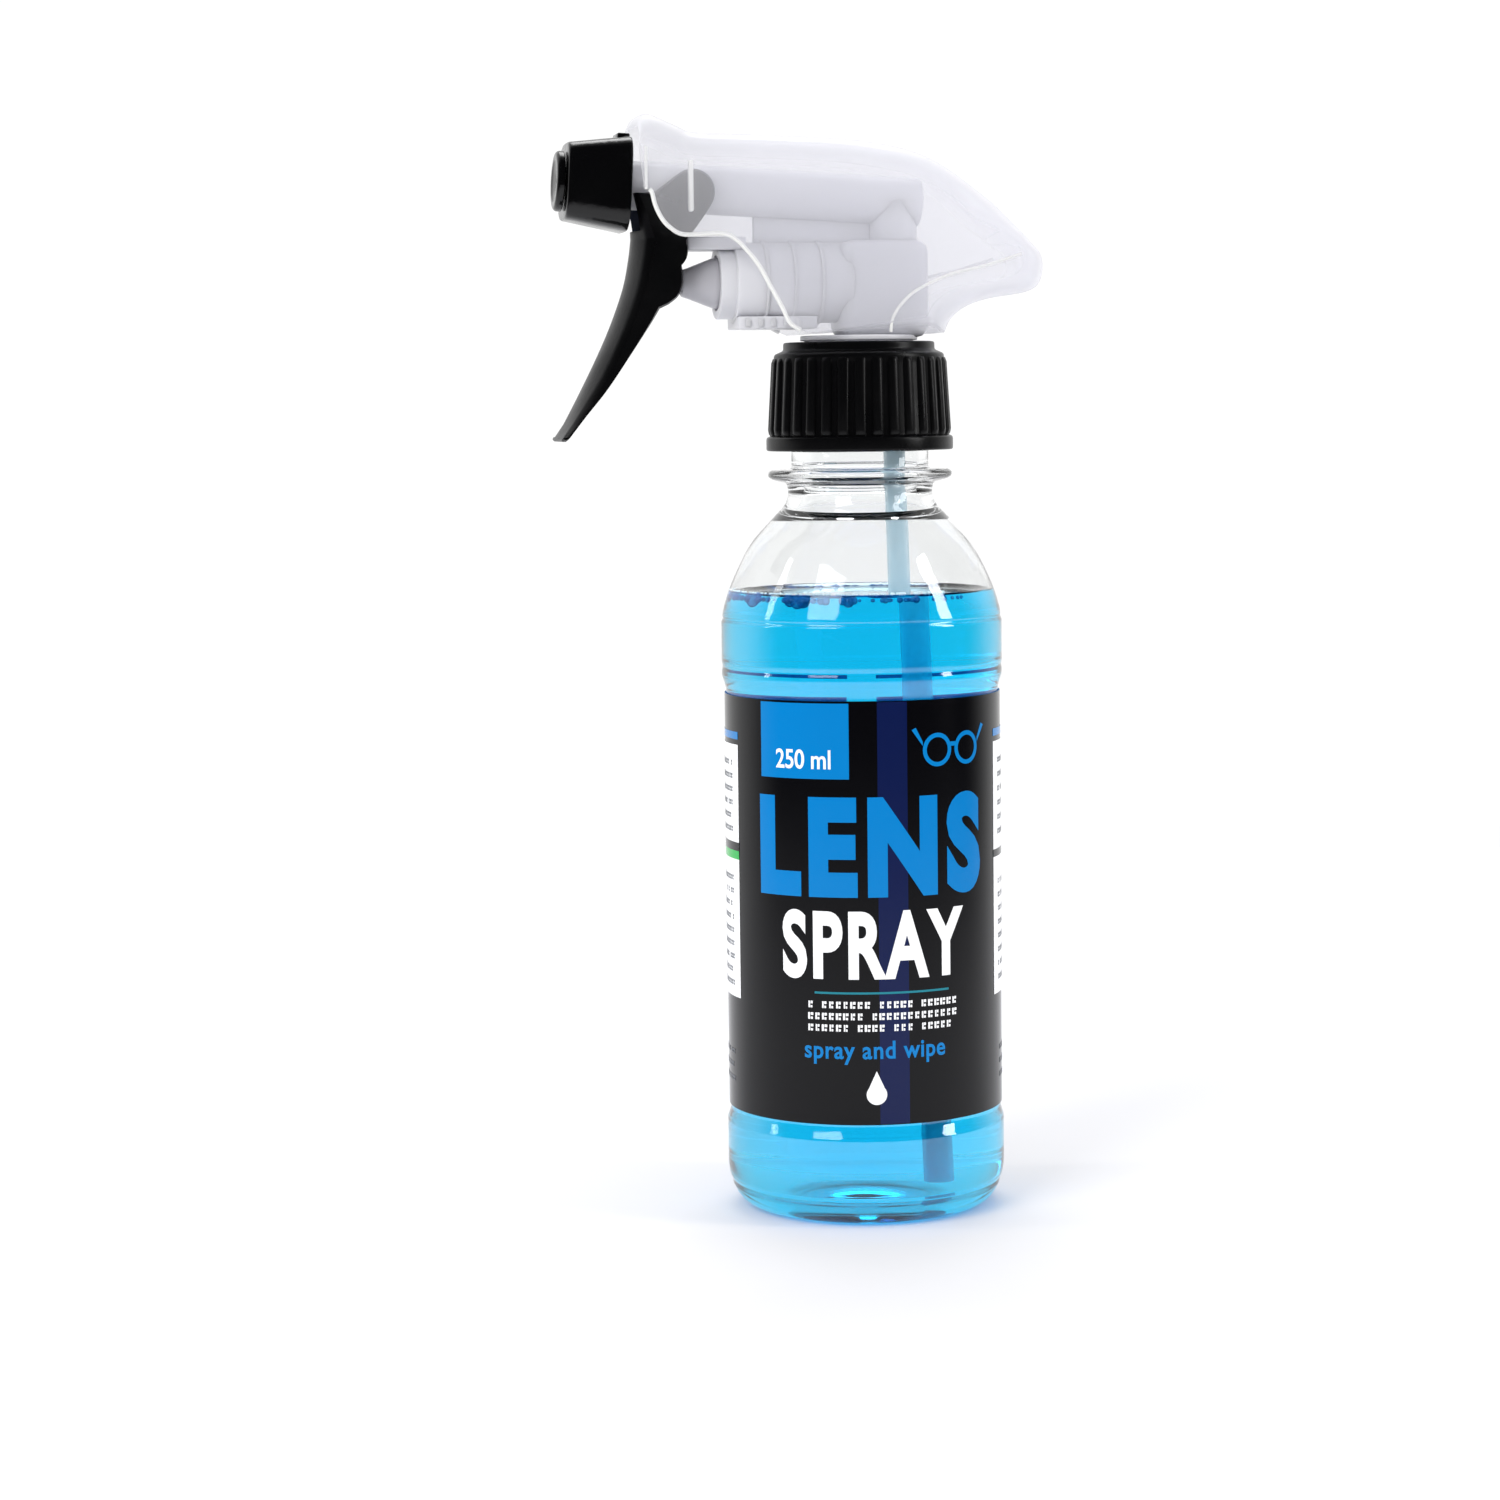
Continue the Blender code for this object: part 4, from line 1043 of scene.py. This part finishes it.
def makePump(v):
    along = frameAlong(0, v["cylinderZ"])
    barrel = barrelFrame()
    bm = bmesh.new()
    addTurned(bm, filleted([
        (0.0, v["end"]), (v["cylinderBore"], v["end"], 0.3), (v["cylinderBore"], v["front"], 0.2),
        (v["collarBore"], v["front"], 0.2), (v["collarBore"], v["collarFront"], 0.2),
        (v["collarR"], v["collarFront"], 0.3), (v["collarR"], v["front"], 0.2),
        (v["cylinderR"], v["front"], 0.4), (v["cylinderR"], 2.0, 0.6), (0.0, 2.0)]), 64, place=along)
    for at in v["ringsAt"]:  # stiffening rings
        addTurned(bm, filleted([
            (v["cylinderR"] - 0.4, at - 0.4), (v["cylinderR"] + 0.35, at - 0.3, 0.2),
            (v["cylinderR"] + 0.35, at + 0.3, 0.2), (v["cylinderR"] - 0.4, at + 0.4)]), 64,
            closed=True, place=along)
    addTurned(bm, filleted([
        (0.0, -43.0), (v["barrelR"], -43.0, 0.5), (v["barrelR"], v["barrelEnd"], 0.3),
        (v["tipR"], v["barrelEnd"], 0.3), (v["tipR"], v["tipEnd"], 0.3), (v["barrelBore"], v["tipEnd"], 0.2),
        (v["barrelBore"], 2.2, 0.2), (0.0, 2.2)]), 48, place=barrel)
    addTurned(bm, filleted([
        (0.0, 164.4), (11.0, 164.4, 0.3), (11.0, 163.5, 0.2), (10.2, 163.5, 0.2), (10.2, 160.4, 0.3),
        (4.2, 160.4, 0.3), (4.2, 163.6, 0.3), (0.0, 163.6)]), 96)
    riser = Matrix.Translation((v["riserX"], 0, 0))
    addTurned(bm, filleted([(0.0, 189.6), (4.6, 189.6, 0.8), (4.6, 180.0), (0.0, 180.0)]), 48, place=riser)
    for low, high, rounding in v["blocks"]:
        addBlock(bm, low, high, rounding)
    for k in range(v["teeth"]):  # teeth of the guide rail
        x = v["toothX"] + k * v["toothPitch"]
        addBlock(bm, (x, -6.3, 166.1), (x + 1.0, -5.5, 167.6), 0.15)
    addPin(bm, v["pinR"], v["pinHalf"], 0.4)
    finishPiece("pumpBody", meshOf(bm, "pumpBody"), naturalPp, "head", ["pump_body"])


def makePiston(v):
    along = frameAlong(0, v["cylinderZ"])
    profile = filleted([
        (0.0, v["noseAt"] + 3.2), (2.4, v["noseAt"] + 3.2, 0.9), (2.75, v["noseAt"] + 2.0, 0.4),
        (v["pistonR"], v["collarFront"] + 0.5, 0.5), (v["pistonR"], 18.0, 0.2), (4.1, 17.6, 0.2),
        (4.1, v["pistonBack"], 0.2), (v["springBore"], v["pistonBack"], 0.2),
        (v["springBore"], v["springEnd"], 0.2), (0.0, v["springEnd"])])
    bm = bmesh.new()
    addTurned(bm, profile, 64, place=along)
    finishPiece("plunger", meshOf(bm, "plunger"), plungerGreyAndShadePp, "piston", ["piston_rod"])


def makeDipTube(v):
    route = smoothed([
        (v["riserX"], 0.0, 160.6), (v["riserX"], 0.0, 149.0), (7.4, 0.0, 118.0), (8.9, 0.0, 60.0),
        (10.3, 0.0, v["tubeLow"])], 10)
    turns = [tau * n / 32 for n in range(32)]
    rings = []
    for radius, line, sign in ((v["tubeR"], route, 1), (v["tubeBore"], route[::-1], -1)):
        for k, here in enumerate(line):
            before = Vector(line[max(k - 1, 0)])
            after = Vector(line[min(k + 1, len(line) - 1)])
            across = Vector((0, 1, 0)).cross(after - before).normalized() * sign * radius
            aside = Vector((0, radius, 0))
            rings.append([Vector(here) + across * cos(a) + aside * sin(a) for a in turns])
    bm = bmesh.new()
    addRings(bm, rings, closed=True)
    finishPiece("dipTube", meshOf(bm, "dipTube"), naturalPe, "head", ["dip_tube"])


makePump(pump)
makePiston(pump)
makeDipTube(pump)
print("pump built")


trigger = {
    "half": 7.4, "crown": 2.6, "round": 0.9, "hubR": 4.1, "holeGap": 0.2,
    "slices": 18, "middle": (-41.0, 172.0), "top": 190.8, "low": 143.0,
    # the gap between the ears and the notch under it: half width, heights, and x from and to
    "gaps": ((5.2, 183.8, 200.0, -50.0, -20.0), (5.0, 178.2, 184.5, -38.0, -20.0)),
    "earGlowStart": (-36.6, 184.0),  # the ears' lighter faces, painted glow of the shroud's haze in front, start here, x and height
}


def triggerOutline(v):
    px, pz = pump["pivotX"], pump["pivotZ"]
    front = [(-43.2, 190.6), (-43.0, 187.0)] + smoothed(
        [(-42.9, 182.4), (-43.4, 178.6), (-44.5, 173.4), (-46.8, 167.0), (-49.3, 161.4),
         (-52.5, 155.0), (-55.8, 148.6)], 6) + [(-57.3, 146.2)]
    tip = [(-57.3, 145.7), (-57.0, 145.35), (-56.5, 145.35)]
    back = smoothed(
        [(-56.0, 145.7), (-52.9, 149.6), (-48.6, 154.8), (-44.0, 161.4), (-40.5, 166.6), (-38.7, 169.5)], 6)
    heel = smoothed([(-37.0, 170.3), (-35.2, 171.8), (-34.3, 174.0), (-34.3, 176.4)], 5)
    knee = smoothed([
        (-34.5, 177.4), (-33.5, 178.8), (-33.2, 180.8), (-33.4, 182.4), (-31.6, 184.6), (-29.6, 187.4)], 4)
    turns = [radians(-35 + 160 * k / 20) for k in range(21)]
    hub = [(px - 1.0 + v["hubR"] * cos(a), pz - 0.3 + v["hubR"] * sin(a)) for a in turns]
    return front, tip + back + heel + knee + hub + [(-39.4, 190.7)]


def makeTrigger(v):
    front, rest = triggerOutline(v)
    middle = Vector(v["middle"])
    rings = []
    for n in range(v["slices"] + 1):
        share = -1 + 2 * n / v["slices"]
        y = share * v["half"]
        near = max(0.0, (abs(y) - (v["half"] - v["round"])) / v["round"])
        drop = v["round"] * (1 - sqrt(max(0.0, 1 - near * near))) * 0.8  # rounded long edges
        ring = []
        for x, z in front:
            fade = min(1.0, (v["top"] - z) / 7, (z - v["low"]) / 14)
            ring.append((x + v["crown"] * share * share * fade + drop, y, z))
        for x, z in rest:
            way = (middle - Vector((x, z))).normalized() * drop * 0.6
            ring.append((x + way.x, y, z + way.y))
        rings.append(ring)
    bm = bmesh.new()
    addRings(bm, rings, capped=True)
    lever = meshOf(bm, "lever")
    cutters = []
    for half, low, high, fore, aft in v["gaps"]:
        bm = bmesh.new()
        addBlock(bm, (fore, -half, low), (aft, half, high))
        cutters.append(meshOf(bm, "gap"))
    bm = bmesh.new()
    addPin(bm, pump["pinR"] + v["holeGap"], pump["pinHalf"] + 0.3, 0.0)
    cutters.append(meshOf(bm, "hole"))
    mesh = cutFrom(lever, cutters, "triggerLever")
    finishPiece("triggerLever", mesh, satinBlackPp, "trigger_lever", ["trigger"], sharp=32)
    mesh.materials.append(grainBlackPp)
    mesh.materials.append(earPaintedHazePp)
    for face in mesh.polygons:
        x, _, z = face.center / mm
        if face.normal.x < -0.55 and z < 187.0:
            face.material_index = 1  # the finger side has a coarser moulded grain
        # the ears get the lighter grey-blue material: painted light for the glow of the frosted shroud in
        # front of them
        elif x - (z - 187.0) * 0.75 > v["earGlowStart"][0] and z > v["earGlowStart"][1]:
            face.material_index = 2


makeTrigger(trigger)
print("trigger shaped")


nozzle = {
    "back": 12.5, "front": 24.1, "backR": 10.5, "frontR": 8.4, "backHalf": 8.85, "frontHalf": 7.1,
    "bore": 5.2, "floor": 22.0,
    "soft": 18.0,  # how square the section is
    "discR": 5.55, "tabHalf": 3.2,
}


def makeNozzle(v):
    barrel = barrelFrame()
    sides = 160
    back, front = v["back"], v["front"]

    def section(share, shrink=0.0):
        cone = v["backR"] + (v["frontR"] - v["backR"]) * share - shrink
        half = v["backHalf"] + (v["frontHalf"] - v["backHalf"]) * share - shrink
        ring = []
        for k in range(sides):
            a = tau * k / sides
            flat = half / max(abs(cos(a)), abs(sin(a)))
            r = (cone ** -v["soft"] + flat ** -v["soft"]) ** (-1 / v["soft"])
            ring.append((r * cos(a), r * sin(a)))
        return ring

    def placed(ring, s):
        return [barrel @ Vector((x, y, s)) for x, y in ring]

    def circle(r, s):
        return placed(circleAt(0.0, 0.0, r, sides), s)

    rings = [circle(v["bore"], v["floor"]), circle(v["bore"], back), placed(section(0, 0.5), back)]
    rings += [placed(section(0, 0.15), back + 0.1), placed(section(0.03), back + 0.4)]
    rings += [placed(section(k / 10), back + (front - back) * k / 10) for k in range(1, 10)]
    rings += [placed(section(0.97), front - 0.35), placed(section(1.0, 0.15), front - 0.1),
              placed(section(1.0, 0.5), front), circle(1.0, front), circle(1.0, v["floor"])]
    bm = bmesh.new()
    addRings(bm, rings, closed=True)
    low = (v["backHalf"] - 0.6, -v["tabHalf"], back + 0.1)
    high = (v["backHalf"] + 0.45, v["tabHalf"], back + 2.4)
    addBlock(bm, low, high, 0.3, barrel)
    mesh = meshOf(bm, "nozzleCap")
    finishPiece("nozzleCap", mesh, glossBlackPp, "nozzle", ["nozzle_cap"], sharp=50)
    bm = bmesh.new()
    low, high, rim = front + 0.3, front + 1.8, v["discR"]
    addTurned(bm, filleted([
        (0.5, low), (0.5, high - 0.5, 0.1), (1.4, high - 0.55, 0.3), (3.5, high - 0.2, 0.5),
        (4.0, high, 0.2), (5.1, high, 0.4), (rim, high - 0.5, 0.3), (rim, low, 0.2), (0.5, low)])[:-1],
        96, closed=True, place=barrel)
    mesh = meshOf(bm, "orificeDisc")
    finishPiece("orificeDisc", mesh, glossBlackPp, "nozzle", ["orifice_disc"])


makeNozzle(nozzle)
print("nozzle shaped")


shroud = {
    "half": 11.2, "wall": 1.0, "round": 5.5, "steps": 10,
    "spine": ((-60.0, 190.0), (18.0, 184.0), (2.0, 160.0)),  # the long edges are rounded towards it
    "saddle": ((3.8, 164.8), (4.2, 167.4), (6.0, 170.1), (9.0, 172.6), (15.0, 175.3), (21.5, 176.8),
               (28.7, 179.0)),
    "lipR": 0.42, "beadR": 0.3, "lipIn": 0.45, "saddleIn": 0.35, "foreX": -41.5, "foreZ": 191.0,
}


def shroudOutline():
    back = smoothed(
        [(-42.4, 203.4), (-41.6, 204.8), (-39.6, 204.7), (-35.4, 202.9), (-31.6, 201.6),
         (-20.0, 201.2), (-1.2, 200.2), (11.8, 197.2), (22.8, 189.9), (28.4, 184.7),
         (32.0, 181.0), (33.7, 178.7), (33.9, 175.8), (32.9, 173.3), (30.2, 172.0),
         (23.8, 171.0), (19.4, 169.6), (16.4, 167.4), (15.0, 164.7)], 6)
    front = smoothed(
        [(-11.6, 164.7), (-14.9, 166.4), (-16.6, 169.6), (-18.6, 173.2), (-20.7, 177.0),
         (-22.9, 179.8), (-25.2, 182.0), (-27.8, 183.0), (-34.5, 182.8), (-37.2, 184.1),
         (-38.8, 185.9), (-39.9, 188.2), (-40.6, 190.7), (-41.9, 191.4)], 4)
    return back, front


def nearSpine(point, v):
    here = Vector(point)
    found = []
    for start, end in zip(v["spine"], v["spine"][1:]):
        start, end = Vector(start), Vector(end)
        share = (here - start).dot(end - start) / (end - start).length_squared
        found.append(start + (end - start) * min(max(share, 0.0), 1.0))
    return min(found, key=lambda place: (place - here).length)


def moveIn(outline, distance, v):
    return [tuple(Vector(p) + (nearSpine(p, v) - Vector(p)).normalized() * distance) for p in outline]


def makeShroud(v):
    back, front = shroudOutline()

    def shell(shrink):
        half, curve = v["half"] - shrink, v["round"] - shrink
        arcs = [pi / 2 * k / v["steps"] for k in range(v["steps"] + 1)]
        side = [(half - curve + curve * sin(a), curve - curve * cos(a)) for a in arcs]
        section = [(-y, inward) for y, inward in side[::-1]] + side
        return [(y, inward + shrink) for y, inward in section]

    def rings(shrink, below):
        # each ring is the roof line, moved in towards the sides, then the edge below it
        made = []
        for y, inward in shell(shrink):
            line = moveIn(back, inward, v)
            made.append([(x, y, z) for x, z in line + below(line)])
        return made

    bm = bmesh.new()
    addRings(bm, rings(0.0, lambda line: front), capped=True)
    outer = meshOf(bm, "outer")
    bm = bmesh.new()
    past = [(-60.0, 158.0), (-60.0, 195.0)]  # the hollow runs out past the front and the foot

    def openBelow(line):
        return [(line[-1][0], 158.0), *past, (-60.0, line[0][1] - 2.0)]

    addRings(bm, rings(v["wall"], openBelow), capped=True)
    inner = meshOf(bm, "inner")
    mesh = cutFrom(outer, [inner], "shroudCover")
    finishPiece("shroudCover", mesh, frostedPp, "head", ["shroud"], sharp=45)


shroudRib = {"x": -33.1, "low": 187.0, "high": 196.4, "width": 0.9, "reach": 1.7, "bevel": 0.35}


def makeShroudRibs(v):
    # a moulded rib inside each cheek keeps the ears on their pins
    bm = bmesh.new()
    outer = shroud["half"] - shroud["wall"] + 0.15
    for side in (-1, 1):
        near, far = sorted((side * outer, side * (outer - v["reach"])))
        low = (v["x"] - v["width"] / 2, near, v["low"])
        high = (v["x"] + v["width"] / 2, far, v["high"])
        addBlock(bm, low, high, v["bevel"])
    finishPiece("shroudRibs", meshOf(bm, "shroudRibs"), softPe, "head")


def makeShroudLipsAndHighlights(v):
    # rounded white lips along the open edge and the saddle: partly the thicker edge of the wall, partly
    # painted highlight standing in for the bright line where the thin wall is seen edge on
    front = shroudOutline()[1]
    saddle = smoothed(v["saddle"], 5)
    bm = bmesh.new()
    for side in (-1, 1):
        lipY = side * (v["half"] - v["lipIn"])
        saddleY = side * (v["half"] - v["saddleIn"])
        addTube(bm, [(x, lipY, z) for x, z in front[2:-3]], v["lipR"])
        addTube(bm, [(x, saddleY, z) for x, z in saddle], v["beadR"])
        addTube(bm, [(v["foreX"], lipY, v["foreZ"] + 0.6 * k) for k in range(14)], v["beadR"])
    finishPiece("shroudLipsAndHighlights", meshOf(bm, "shroudLipsAndHighlights"), softPe, "head")


makeShroud(shroud)
makeShroudRibs(shroudRib)
makeShroudLipsAndHighlights(shroud)
print("shroud moulded")
